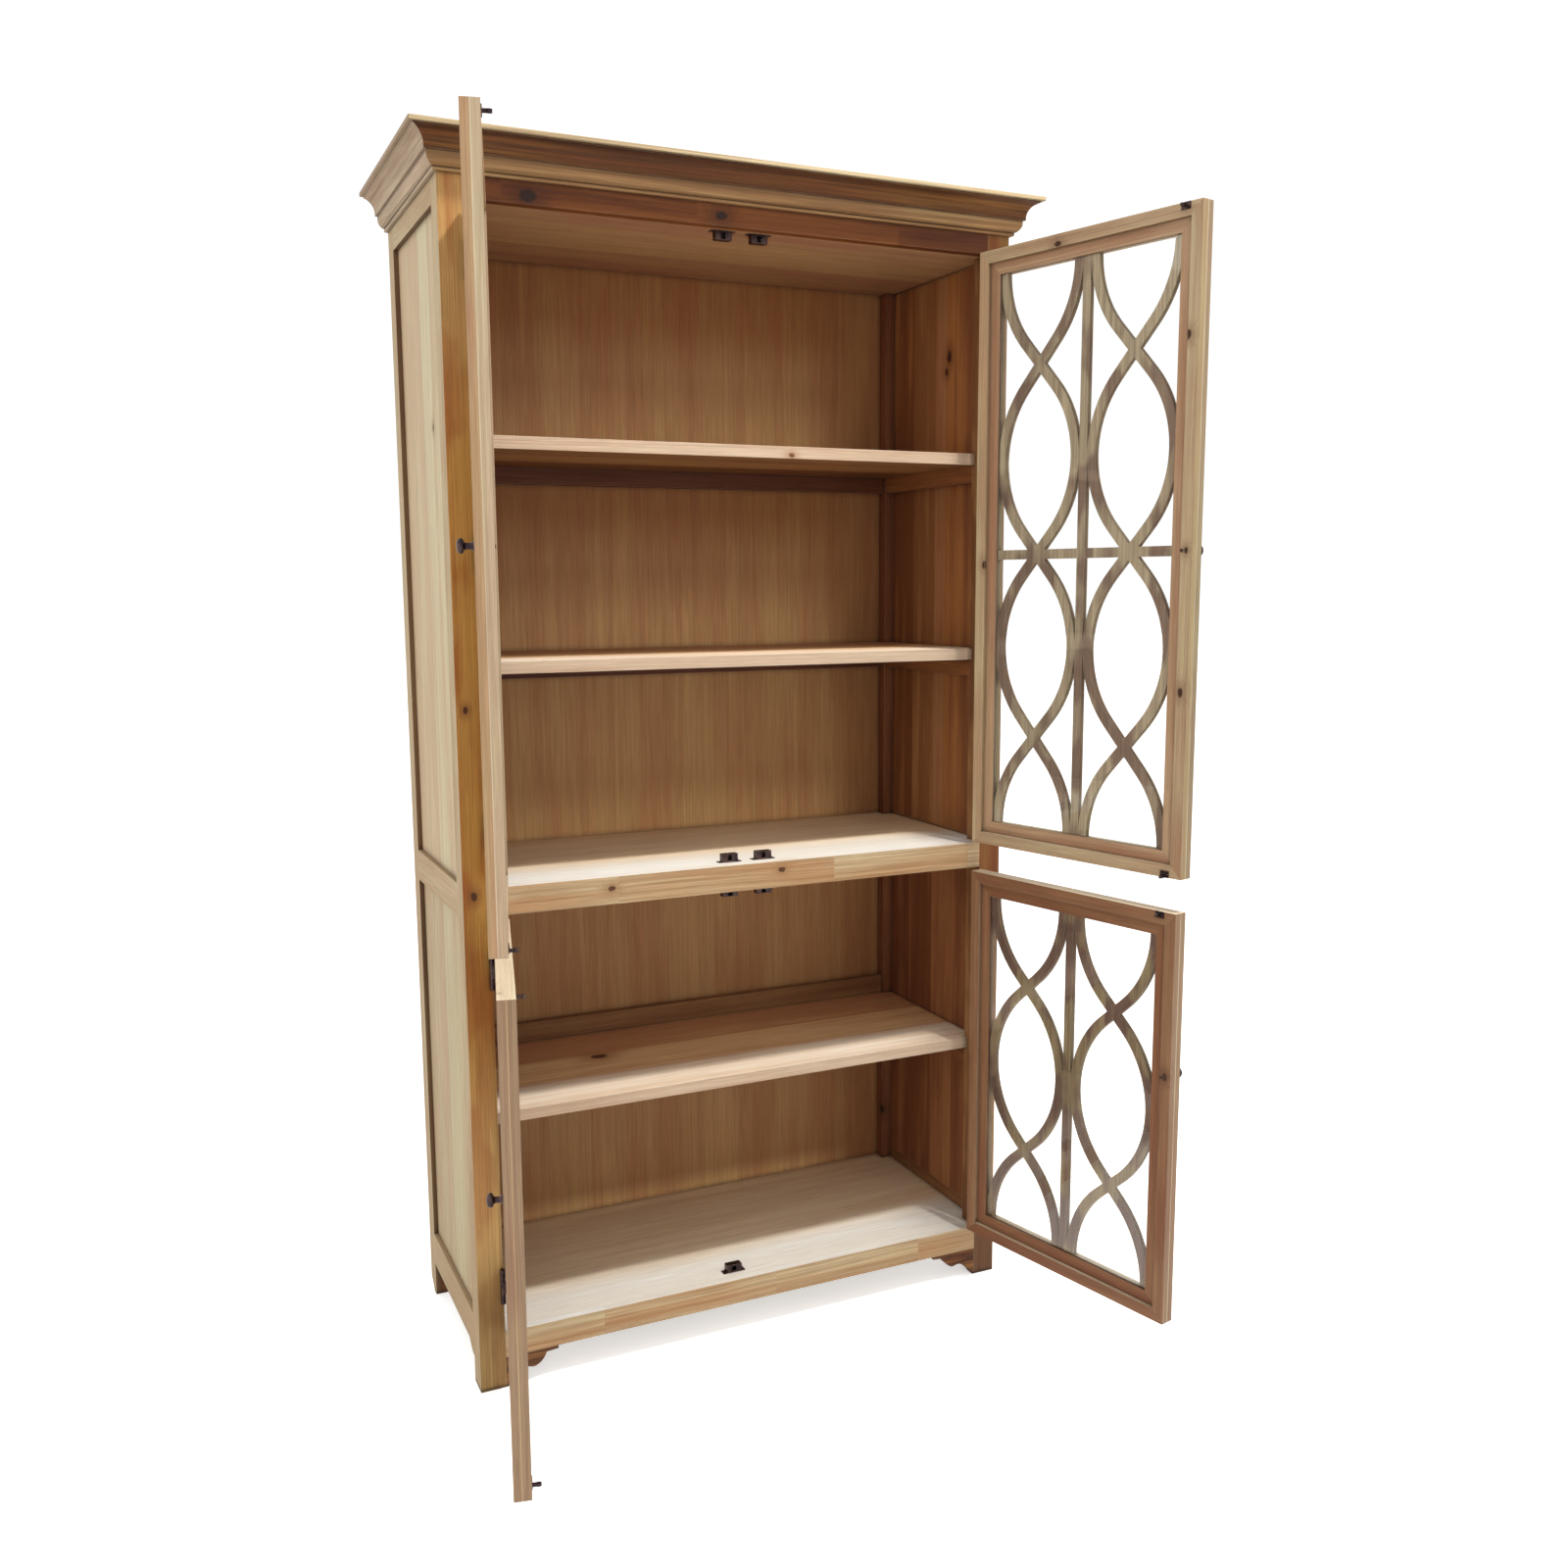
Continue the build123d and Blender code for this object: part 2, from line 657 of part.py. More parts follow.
# ---------------------------------------------------------------- lattice
def slat_outline(door):
    """One S-shaped slat about its crossing, leaning to the right as it rises.

    Its middle line is straight through the crossing and bends in two circular arcs
    until it is upright, halfway to the next crossings above and below.
    """
    reach_up = (door.height - 2 * member_width) / (2 * door.crossings)
    reach_out = (column_offset() - centre_bar_width / 2 - slat_joint_gap
                 - slat_width / 2)
    bend_limit = (reach_up ** 2 + reach_out ** 2) / (2 * reach_out)
    bend = min(slat_bend_radius, bend_limit)
    to_centre = hypot(reach_up, bend - reach_out)
    turn = degrees(atan2(reach_up, bend - reach_out) - acos(min(bend / to_centre, 1)))
    with BuildSketch() as outline:
        with BuildLine():
            edges = []
            for reach in (-slat_width / 2, slat_width / 2):
                low = CenterArc((bend - reach_out, -reach_up), bend - reach, 180, -turn)
                high = CenterArc((reach_out - bend, reach_up), bend + reach, 0, -turn)
                Line(low @ 1, high @ 1)
                edges.append((low @ 0, high @ 0))
            Line(edges[0][0], edges[1][0])
            Line(edges[0][1], edges[1][1])
        make_face()
        # Trimmed for the glue line between this slat and the next ones.
        Rectangle(2 * (reach_out + slat_width), 2 * reach_up - slat_joint_gap,
                  mode=Mode.INTERSECT)
    return outline.sketch_local


def column_offset():
    """Distance from the door's middle to the crossings of each lattice column."""
    half_light = door_width / 2 - member_width
    return (half_light + slat_let_in + centre_bar_width / 2) / 2


def slat(door, shape, crossed, place, lap_depth):
    """A slat at its crossing, with the half lap for the slat that crosses it."""
    with BuildPart() as strip:
        with BuildSketch(door_plane(door, depth=lattice_level)):
            with Locations(place):
                add(shape)
            with Locations((door_width / 2, door.height / 2)):
                Rectangle(door_width - 2 * member_width, door.height - 2 * member_width,
                          mode=Mode.INTERSECT)
        extrude(amount=door.side * lattice_thickness)
        with BuildSketch(door_plane(door, depth=lattice_level + lap_depth)):
            with Locations(place):
                add(crossed)
        extrude(amount=door.side * lattice_thickness / 2, mode=Mode.SUBTRACT)
    return strip.part.solid()


def door_lattice(door):
    """Two columns of crossing slats either side of an upright bar.

    The tall doors also have a level bar, in four pieces, through the middle crossings.
    """
    rising = slat_outline(door)
    falling = mirror(rising, about=Plane.YZ)
    light_height = door.height - 2 * member_width
    columns = [door_width / 2 - column_offset(), door_width / 2 + column_offset()]
    pieces = []
    for column in columns:
        for crossing in range(door.crossings):
            level = member_width + light_height * (2 * crossing + 1) / (2 * door.crossings)
            pieces.append(slat(door, rising, falling, (column, level), 0))
            pieces.append(slat(door, falling, rising, (column, level), lattice_thickness / 2))
    with BuildPart() as upright:
        with BuildSketch(door_plane(door, depth=lattice_level)):
            with Locations((door_width / 2, door.height / 2)):
                Rectangle(centre_bar_width, light_height)
        extrude(amount=door.side * lattice_thickness)
    pieces.append(upright.part.solid())
    if door.crossings % 2:
        with BuildPart() as cross_bar:
            with BuildSketch(door_plane(door, depth=lattice_level)):
                with Locations((door_width / 2, door.height / 2)):
                    Rectangle(door_width - 2 * member_width, cross_bar_height)
                    Rectangle(centre_bar_width, light_height, mode=Mode.SUBTRACT)
                with Locations(*[(column, door.height / 2) for column in columns]):
                    add(rising, mode=Mode.SUBTRACT)
                    add(falling, mode=Mode.SUBTRACT)
            extrude(amount=door.side * lattice_thickness)
        pieces.extend(cross_bar.part.solids())
    return Compound(pieces)


# ---------------------------------------------------------------- door ironmongery
def door_knob(door):
    """A turned knob on the outer face, and the screw that holds it from inside."""
    face = door_plane(door, along=door_width - knob_inset, up=door.knob)
    outwards = -door.side * face.z_dir
    turning = Plane(origin=face.origin, x_dir=outwards, z_dir=outwards.cross(Vector(0, 0, 1)))
    with BuildPart() as knob:
        with BuildSketch(turning):
            with BuildLine():
                base = Polyline((0, 0), (0, knob_base_radius),
                                (knob_projection * 0.06, knob_base_radius))
                neck = ThreePointArc(base @ 1, (knob_projection * 0.13, knob_stem_radius * 1.2),
                                     (knob_projection * 0.25, knob_stem_radius))
                stem = Line(neck @ 1, (knob_projection * 0.45, knob_stem_radius))
                flare = ThreePointArc(stem @ 1, (knob_projection * 0.55, knob_radius * 0.55),
                                      (knob_projection * 0.60, knob_radius * 0.85))
                rim = ThreePointArc(flare @ 1, (knob_projection * 0.75, knob_radius),
                                    (knob_projection * 0.92, knob_radius * 0.82))
                TangentArc((knob_projection, 0), rim @ 1, tangent=(0, 1))
                Line((knob_projection, 0), (0, 0))
            make_face()
        revolve(axis=Axis(turning.origin, turning.x_dir))
        with BuildSketch(face):
            Circle(knob_screw_radius + knob_screw_fit)
        extrude(amount=-door.side * knob_screw_grip, mode=Mode.SUBTRACT)
    with BuildPart() as screw:
        with BuildSketch(face):
            Circle(knob_screw_radius)
        extrude(amount=-door.side * knob_screw_grip)
        with BuildSketch(face):
            Circle(knob_screw_radius)
        extrude(amount=door.side * door_thickness)
        inner = door_plane(door, along=door_width - knob_inset, up=door.knob,
                           depth=door_thickness)
        with BuildSketch(inner):
            Circle(knob_screw_head_radius)
        extrude(amount=door.side * knob_screw_head_height)
    return Compound([knob.part.solid(), screw.part.solid()])


def door_leaf(door, level):
    """The moving leaf: plate in the door's edge and the middle knuckle round the pin."""
    bottom = level - hinge_height / 2
    inwards = -door.side
    with BuildPart() as leaf:
        with BuildSketch(door_plan(door, up=bottom)):
            with Locations((hinge_leaf_thickness / 2, inwards * hinge_leaf_width / 2)):
                Rectangle(hinge_leaf_thickness, hinge_leaf_width)
        extrude(amount=hinge_height)
        with BuildSketch(door_plan(door, up=level - knuckle_height / 2)):
            with Locations((-pin_to_edge, -inwards * pin_proud)):
                Circle(knuckle_radius)
            # The leaf turns forwards out of the edge and across to the knuckle.
            web = hinge_leaf_thickness / 2
            with BuildLine():
                Polyline((-pin_to_edge, -inwards * (pin_proud - web)),
                         (-pin_to_edge, -inwards * (pin_proud + web)),
                         (hinge_leaf_thickness, -inwards * (pin_proud + web)),
                         (hinge_leaf_thickness, 0), (0, 0),
                         (0, -inwards * (pin_proud - web)), close=True)
            make_face()
            with Locations((-pin_to_edge, -inwards * pin_proud)):
                Circle(pin_radius + pin_fit, mode=Mode.SUBTRACT)
        extrude(amount=knuckle_height)
    return leaf.part.solid()


def catch_spear(door, way):
    """A spear on the inner face, pointing at the catch below (UP) or above (DOWN) it."""
    along = half_opening - hinge_gap - catch_offset
    edge = 0 if way == UP else door.height
    gap = door_bottom_gap if way == UP else door_top_gap
    middle = edge + way * (spear_level - gap)
    with BuildPart() as spear:
        with BuildSketch(door_plane(door, depth=door_thickness)):
            with Locations((along, edge + way * spear_plate_height / 2)):
                Rectangle(spear_plate_width, spear_plate_height)
        extrude(amount=door.side * spear_plate_thickness)
        with BuildSketch(door_plan(door, along, middle - spear_height / 2, door_thickness)):
            with BuildLine():
                neck = spear_neck_width / 2
                head = spear_head_width / 2
                half = [(neck, 0), (neck, spear_length * 0.5), (head, spear_length * 0.6),
                        (head, spear_length * 0.8), (head * 0.5, spear_length)]
                outline = half + [(-a, d) for a, d in reversed(half)]
                Polyline(*[(a, -door.side * d) for a, d in outline], close=True)
            make_face()
        extrude(amount=spear_height)
    return spear.part.solid()


# ---------------------------------------------------------------- the four doors
for door in doors:
    leaves = Compound([door_leaf(door, level) for level in door.hinges])
    spears = Compound([catch_spear(door, way) for way in door.catches])
    pieces = {
        "stiles": door_stiles(door).part,
        "rails": door_rails(door).part,
        "lattice": door_lattice(door),
        "glass": door_glass(door).part,
        "glazing_beads": glazing_beads(door),
        "knob": door_knob(door),
        "hinge_leaves": leaves,
        "catch_spears": spears,
    }
    for piece_name, piece in pieces.items():
        piece.label = f"{piece_name}_{door.name}"
        export_step(piece, f"parts/{piece.label}.step")
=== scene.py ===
# %% [markdown]
# A tall book cabinet in two tiers, with four glazed doors behind curved lattice work. Its
# joinery is already drawn as solids, one named node per member, and each node moves with a
# body: the carcass or one of the doors. This lesson dresses those members. It gives every
# surface a wood, metal or glass finish made of shader nodes, adds the screws, and sets up a
# plain studio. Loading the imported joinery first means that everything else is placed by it.

import json
from collections import namedtuple
from math import cos, pi, radians, sin

import bmesh
import bpy
from mathutils import Matrix, Vector


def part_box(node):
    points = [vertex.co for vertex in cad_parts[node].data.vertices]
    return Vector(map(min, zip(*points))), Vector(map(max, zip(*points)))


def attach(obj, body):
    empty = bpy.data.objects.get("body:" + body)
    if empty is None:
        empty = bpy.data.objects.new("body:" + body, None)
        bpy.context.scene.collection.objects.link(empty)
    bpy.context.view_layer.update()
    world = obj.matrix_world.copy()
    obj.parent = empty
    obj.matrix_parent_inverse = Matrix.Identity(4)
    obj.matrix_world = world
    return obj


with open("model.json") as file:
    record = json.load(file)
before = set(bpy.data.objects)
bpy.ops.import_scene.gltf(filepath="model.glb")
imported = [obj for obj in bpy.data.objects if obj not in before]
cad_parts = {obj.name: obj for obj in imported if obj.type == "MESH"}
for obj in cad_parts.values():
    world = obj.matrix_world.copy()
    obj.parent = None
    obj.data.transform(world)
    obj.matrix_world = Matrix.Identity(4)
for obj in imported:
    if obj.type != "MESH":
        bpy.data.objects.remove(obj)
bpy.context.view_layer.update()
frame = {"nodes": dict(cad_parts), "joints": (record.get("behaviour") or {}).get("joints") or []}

# %% [markdown]
# Shader trees are long when each node is placed by hand. A few short helpers keep the wood
# recipes readable: one places a node and fills its inputs with numbers or links, one does
# arithmetic, one fades between two limits, and one mixes two colours.

# %% Helpers for shader trees
def feed(tree, socket, value):
    """Links an output to a socket, or sets the socket's own value."""
    if isinstance(value, bpy.types.NodeSocket):
        tree.links.new(value, socket)
    else:
        socket.default_value = value


def fill(tree, node, inputs):
    """Feeds several inputs of a node, each by its name or its number."""
    for name, value in inputs.items():
        feed(tree, node.inputs[name], value)


def place(tree, kind, inputs=None, **settings):
    """A new node, with its settings made and its inputs fed."""
    node = tree.nodes.new(kind)
    for name, value in settings.items():
        setattr(node, name, value)
    fill(tree, node, inputs or {})
    return node


def apply_group(tree, group, *values):
    """The outputs of a shader group, with its inputs fed in their order."""
    return place(tree, "ShaderNodeGroup", dict(enumerate(values)), node_tree=group).outputs


def calc(tree, operation, *values):
    """Arithmetic on masks."""
    return place(tree, "ShaderNodeMath", dict(enumerate(values)),
                 operation=operation).outputs[0]


def vector_calc(tree, operation, *values):
    """Arithmetic on vectors. A length or dot product comes out as a number."""
    node = place(tree, "ShaderNodeVectorMath", dict(enumerate(values)), operation=operation)
    number = operation in ("LENGTH", "DOT_PRODUCT")
    return node.outputs["Value" if number else "Vector"]


def scaled(tree, vector, factor):
    """A vector or colour times a number."""
    return place(tree, "ShaderNodeVectorMath", {0: vector, 3: factor},
                 operation="SCALE").outputs["Vector"]


def split(tree, vector, axis):
    """One coordinate of a vector."""
    return place(tree, "ShaderNodeSeparateXYZ", {"Vector": vector}).outputs[axis]


def moved(tree, vector, kind, **inputs):
    """A vector shifted and turned by a Mapping node."""
    return place(tree, "ShaderNodeMapping", {"Vector": vector, **inputs},
                 vector_type=kind).outputs[0]


def fade(tree, value, start, end, low=0.0, high=1.0):
    """Goes smoothly from low at start to high at end."""
    return place(tree, "ShaderNodeMapRange",
                 {"Value": value, "From Min": start, "From Max": end,
                  "To Min": low, "To Max": high},
                 interpolation_type="SMOOTHSTEP").outputs["Result"]


def mix_colour(tree, factor, first, second):
    """A mix of two colours."""
    return place(tree, "ShaderNodeMix", {0: factor, 6: first, 7: second},
                 data_type="RGBA").outputs[2]


def noise(tree, point, stretch, detail=2.0, roughness=0.5, output=0):
    """Soft noise with its own number of waves per metre along each axis."""
    spread = vector_calc(tree, "MULTIPLY", point, stretch)
    return place(tree, "ShaderNodeTexNoise",
                 {"Vector": spread, "Scale": 1.0, "Detail": detail,
                  "Roughness": roughness}).outputs[output]


# %% [markdown]
# Stains are written as six-digit codes, as a paint chart gives them, but shaders reckon
# with linear light, so each code is converted once. What many materials share is built
# once as a shader group, which works like one pot of stain for all the boards. It could be
# copied into every material, but then each mend would have to be made many times.

# %% Colours and groups
def from_code(code):
    """A colour from its six-digit sRGB code, as the linear light that shaders need."""
    shares = [int(code[k:k + 2], 16) / 255 for k in (0, 2, 4)]
    linear = [s / 12.92 if s <= 0.04045 else ((s + 0.055) / 1.055) ** 2.4 for s in shares]
    return (*linear, 1.0)


def new_group(name, inputs, outputs):
    """An empty shader group. Returns its tree, what it is given, and its output node."""
    tree = bpy.data.node_groups.new(name, "ShaderNodeTree")
    kinds = {"number": "NodeSocketFloat", "vector": "NodeSocketVector",
             "colour": "NodeSocketColor"}
    for title, kind in inputs.items():
        tree.interface.new_socket(title, in_out="INPUT", socket_type=kinds[kind])
    for title, kind in outputs.items():
        tree.interface.new_socket(title, in_out="OUTPUT", socket_type=kinds[kind])
    return (tree, tree.nodes.new("NodeGroupInput").outputs,
            tree.nodes.new("NodeGroupOutput"))


def new_material(title):
    """An empty material. Returns it with its tree and its shader."""
    material = bpy.data.materials.new(title)
    material.use_nodes = True
    return material, material.node_tree, material.node_tree.nodes["Principled BSDF"]


# %% [markdown]
# Softwood shows four things at once: growth rings, which a saw cut turns into lines and long
# arches; streaks of lighter and redder wood along the grain; fine fibre; and knots, round
# which the rings bend. An image could hold them, but it would repeat and stretch. Here the
# board is cut from a procedural log instead: distance from a pith line gives the rings, and
# each face of a member cuts them as the real face would. The grain runs along X. Most knots
# fall at random, and two can be put where a board is known to have them.

# %% Group: timber figure
def knot_distance(tree, offset, radius):
    """Distance from a knot's middle in knot radii, for an oval that is long along the grain."""
    oval = vector_calc(tree, "DIVIDE", offset, (1.5, 1.0, 1.0))
    return calc(tree, "DIVIDE", vector_calc(tree, "LENGTH", oval), radius)


FIGURE_INPUTS = {"Vector": "vector", "Member": "vector", "Ring Width": "number",
                 "Wander": "number", "Knot Share": "number", "Knot Size": "number",
                 "Knot A": "vector", "Knot A Size": "number", "Knot B": "vector",
                 "Knot B Size": "number"}


def build_timber_figure():
    """Masks of rings, streaks, fibre and knots in a log that lies along X, in metres."""
    tree, given, result = new_group(
        "timber figure", FIGURE_INPUTS,
        {"Rings": "number", "Streaks": "number", "Bands": "number", "Clouds": "number",
         "Fibre": "number", "Knots": "number", "Knot Shade": "number"})
    point = given["Vector"]

    # Random knots: one possible knot per long cell, in a space squeezed along the grain.
    squeeze = (2.4, 9.5, 9.5)
    squeezed = vector_calc(tree, "MULTIPLY", point, squeeze)
    cells = place(tree, "ShaderNodeTexVoronoi",
                  {"Vector": squeezed, "Scale": 1.0, "Randomness": 0.85})
    chance = place(tree, "ShaderNodeSeparateColor", {"Color": cells.outputs["Color"]})
    gap = vector_calc(tree, "SUBTRACT", squeezed, cells.outputs["Position"])
    gap = vector_calc(tree, "DIVIDE", gap, squeeze)
    radius = calc(tree, "MULTIPLY", given["Knot Size"],
                  fade(tree, chance.outputs["Green"], 0.0, 1.0, 0.4, 1.0))
    absent = calc(tree, "GREATER_THAN", chance.outputs["Red"], given["Knot Share"])
    near = calc(tree, "MULTIPLY_ADD", absent, 99.0, knot_distance(tree, gap, radius))
    for title in ("Knot A", "Knot B"):
        own = vector_calc(tree, "SUBTRACT", given["Member"], given[title])
        near = calc(tree, "MINIMUM", near, knot_distance(tree, own, given[f"{title} Size"]))
    ragged = noise(tree, point, (90, 130, 130))
    near = calc(tree, "MULTIPLY_ADD", ragged, 0.7, near)
    knot = fade(tree, near, 1.35, 0.95)
    shade = fade(tree, near, 4.4, 1.1)

    # Rings: distance from the pith, made uneven and pushed out round the knots.
    drift = noise(tree, point, (1.5, 7, 7), output="Color")
    drift = vector_calc(tree, "SUBTRACT", drift, (0.5, 0.5, 0.5))
    bent = vector_calc(tree, "ADD", point, scaled(tree, drift, given["Wander"]))
    across = vector_calc(tree, "MULTIPLY", bent, (0.0, 1.0, 1.0))
    from_pith = vector_calc(tree, "LENGTH", across)
    bulge = calc(tree, "MULTIPLY", calc(tree, "POWER", shade, 1.6), 0.012)
    from_pith = calc(tree, "ADD", bulge, from_pith)
    year = calc(tree, "DIVIDE", from_pith, given["Ring Width"])
    slow_years = noise(tree, across, (0, 26, 26))
    year = calc(tree, "MULTIPLY_ADD", slow_years, 2.6, year)
    season = calc(tree, "FRACT", year)
    late = calc(tree, "POWER", season, 2.6)
    rings = calc(tree, "MULTIPLY", late, fade(tree, season, 1.0, 0.9))
    good_years = noise(tree, across, (0, 60, 60))
    rings = calc(tree, "MULTIPLY", rings, fade(tree, good_years, 0.3, 0.65, 0.25, 1.0))

    streaks = noise(tree, bent, (2.1, 170, 170), detail=3.0, roughness=0.65)
    bands = noise(tree, bent, (0.9, 38, 38), detail=3.0, roughness=0.6)
    clouds = noise(tree, bent, (2.6, 13, 13), detail=3.0)
    fibre = noise(tree, point, (14, 760, 760), detail=2.0, roughness=0.6)

    fill(tree, result, {"Rings": rings, "Streaks": fade(tree, streaks, 0.3, 0.7),
                        "Bands": fade(tree, bands, 0.3, 0.7),
                        "Clouds": fade(tree, clouds, 0.3, 0.7),
                        "Fibre": fade(tree, fibre, 0.25, 0.75),
                        "Knots": knot, "Knot Shade": shade})
    return tree


timber_figure = build_timber_figure()
print("timber figure:", len(timber_figure.nodes), "nodes")

# %% [markdown]
# The figure is only masks. Colour comes from a second group: pale wood turns warm in bands
# and clouds, streaks darken it a little, late wood draws the rings, and knots sit in a darker
# ring of their own. The same group puts out roughness, because late wood polishes and open
# fibre stays dull, and a height for the bump, because brushed softwood stands proud at its
# hard rings.

# %% Group: timber colour
def build_timber_colour():
    """Colour, roughness and height of one piece of wood from its figure."""
    tree, given, result = new_group(
        "timber colour",
        {**FIGURE_INPUTS, "Pale": "colour", "Warm": "colour", "Late Wood": "colour",
         "Knot": "colour", "Ring Strength": "number", "Streak Strength": "number",
         "Tone": "number"},
        {"Colour": "colour", "Roughness": "number", "Height": "number"})
    masks = apply_group(tree, timber_figure, *(given[title] for title in FIGURE_INPUTS))

    blend = calc(tree, "MULTIPLY", masks["Bands"], 0.5)
    blend = calc(tree, "MULTIPLY_ADD", masks["Clouds"], 0.5, blend)
    blend = calc(tree, "ADD", blend, given["Tone"])
    wood = mix_colour(tree, fade(tree, blend, 0.1, 0.9), given["Pale"], given["Warm"])
    streak_share = calc(tree, "MULTIPLY", masks["Streaks"], given["Streak Strength"])
    wood = mix_colour(tree, streak_share, wood, given["Late Wood"])
    ring_share = calc(tree, "MULTIPLY", masks["Rings"], given["Ring Strength"])
    wood = mix_colour(tree, ring_share, wood, given["Late Wood"])
    wood = scaled(tree, wood, fade(tree, masks["Fibre"], 0.0, 1.0, 0.88, 1.07))
    halo = calc(tree, "MULTIPLY", calc(tree, "POWER", masks["Knot Shade"], 1.8), 0.55)
    wood = mix_colour(tree, halo, wood, given["Late Wood"])
    wood = mix_colour(tree, masks["Knots"], wood, given["Knot"])

    dull = fade(tree, masks["Fibre"], 0.0, 1.0, 0.66, 0.52)
    roughness = calc(tree, "MULTIPLY_ADD", masks["Rings"], -0.1, dull)
    height = calc(tree, "MULTIPLY", masks["Fibre"], 0.45)
    height = calc(tree, "MULTIPLY_ADD", masks["Rings"], 0.4, height)
    height = calc(tree, "MULTIPLY_ADD", masks["Knots"], -0.5, height)
    fill(tree, result, {"Colour": wood, "Roughness": roughness, "Height": height})
    return tree


timber_colour = build_timber_colour()
print("timber colour:", len(timber_colour.nodes), "nodes")

# %% [markdown]
# Wide boards are glued up from narrower strips, and each strip comes from another part of
# the tree. Shifting the log by a random amount per strip gives the change of figure at each
# glue line, with no seam in the mesh. The group also puts out a random tone per strip.

# %% Group: glued strips
def build_glued_strips():
    """Shifts a log along X by a random amount for each strip across Y."""
    tree, given, result = new_group(
        "glued strips",
        {"Vector": "vector", "Strip Width": "number", "Start": "number", "Contrast": "number"},
        {"Vector": "vector", "Tone": "number"})
    across = calc(tree, "SUBTRACT", split(tree, given["Vector"], "Y"), given["Start"])
    strip = calc(tree, "FLOOR", calc(tree, "DIVIDE", across, given["Strip Width"]))
    random = place(tree, "ShaderNodeTexWhiteNoise", {"W": strip}, noise_dimensions="1D")
    shift = vector_calc(tree, "MULTIPLY", random.outputs["Color"], (7.0, 0.12, 0.12))
    tone = fade(tree, random.outputs["Value"], 0, 1, -0.5, 0.5)
    fill(tree, result, {"Vector": vector_calc(tree, "ADD", given["Vector"], shift),
                        "Tone": calc(tree, "MULTIPLY", tone, given["Contrast"])})
    return tree


glued_strips = build_glued_strips()
print("glued strips:", len(glued_strips.nodes), "nodes")

# %% [markdown]
# Rails of this kind are often finger-jointed from short offcuts, end to end. A
# one-dimensional Voronoi texture cuts the log's length into pieces of uneven size and gives
# each its own random colour, which here becomes a shift of the figure and a change of tone.

# %% Group: jointed lengths
def build_jointed_lengths():
    """Cuts a log along X into short lengths, each from another part of the tree."""
    tree, given, result = new_group(
        "jointed lengths", {"Vector": "vector", "Length": "number", "Contrast": "number"},
        {"Vector": "vector", "Tone": "number"})
    counted = calc(tree, "DIVIDE", split(tree, given["Vector"], "X"), given["Length"])
    pieces = place(tree, "ShaderNodeTexVoronoi", {"W": counted, "Scale": 1.0},
                   voronoi_dimensions="1D").outputs["Color"]
    shift = vector_calc(tree, "MULTIPLY", pieces, (9.0, 0.04, 0.04))
    random = place(tree, "ShaderNodeSeparateColor", {"Color": pieces}).outputs["Blue"]
    tone = calc(tree, "SUBTRACT", random, 0.5)
    fill(tree, result, {"Vector": vector_calc(tree, "ADD", given["Vector"], shift),
                        "Tone": calc(tree, "MULTIPLY", tone, given["Contrast"])})
    return tree


jointed_lengths = build_jointed_lengths()
print("jointed lengths:", len(jointed_lengths.nodes), "nodes")

# %% [markdown]
# Nothing sawn and sanded has a perfectly sharp corner. A bevel on every mesh would add many
# faces for a radius of about a millimetre, so the corners are rounded in the shading. The
# Bevel node gives the normal that a rounded corner would have. Where it leaves the true
# normal there is an arris, and the mask it gives lightens the wood where hands rub it.

# %% Group: worn arris
def build_worn_arris():
    """The normal of a rounded corner, and a mask of where the corner is rubbed."""
    tree, given, result = new_group(
        "worn arris", {"Radius": "number", "Vector": "vector"},
        {"Normal": "vector", "Rubbed": "number"})
    rounded = place(tree, "ShaderNodeBevel", {"Radius": given["Radius"]}, samples=4)
    true = place(tree, "ShaderNodeNewGeometry")
    match = vector_calc(tree, "DOT_PRODUCT", rounded.outputs["Normal"],
                        true.outputs["True Normal"])
    edge = fade(tree, match, 0.995, 0.8)
    patchy = noise(tree, given["Vector"], (22, 40, 40))
    patchy = fade(tree, patchy, 0.35, 0.65, 0.35, 1.0)
    fill(tree, result, {"Normal": rounded.outputs["Normal"],
                        "Rubbed": calc(tree, "MULTIPLY", edge, patchy)})
    return tree


worn_arris = build_worn_arris()
print("worn arris:", len(worn_arris.nodes), "nodes")

# %% [markdown]
# Shade falls into the inner corners where two members meet, and here it is painted into
# the colour. A short-range Ambient Occlusion node finds those corners, and the mask darkens
# them as painted shade. It reaches only a few millimetres, so it draws the joints without
# dulling the faces. The same group darkens the last few millimetres above the floor.

# %% Group: painted corner shade and foot band
def build_corner_shade_and_foot_band():
    """A mask of inner corners and of the foot of the cabinet."""
    tree, given, result = new_group(
        "corner shade and foot band", {"Vector": "vector", "Reach": "number"}, {"Darkening": "number"})
    # Painted shade: the short-range occlusion mask marks the inner corners where shade falls.
    corners = place(tree, "ShaderNodeAmbientOcclusion", {"Distance": given["Reach"]},
                    samples=4)
    open_share = corners.outputs["AO"]
    patchy = noise(tree, given["Vector"], (7, 7, 7), detail=3.0)
    inner = fade(tree, open_share, 0.95, 0.35)
    inner = calc(tree, "MULTIPLY", inner, fade(tree, patchy, 0.3, 0.7, 0.8, 1.0))
    uneven = calc(tree, "MULTIPLY_ADD", patchy, -0.012, split(tree, given["Vector"], "Z"))
    low = fade(tree, uneven, 0.003, -0.003)
    fill(tree, result, {"Darkening": calc(tree, "MAXIMUM", inner, low)})
    return tree


corner_shade_and_foot_band = build_corner_shade_and_foot_band()
print("corner shade and foot band:", len(corner_shade_and_foot_band.nodes), "nodes")

# %% [markdown]
# Each door stands open, so its members lie at an angle. Their grain has to be worked out as
# if the door were shut, or it would run askew across every stile. The doors could be turned
# for that, but the joinery stays where it is, so a Mapping node set to Texture undoes the
# swing about the hinge pin. The pins and angles are read from the joints of the frame.

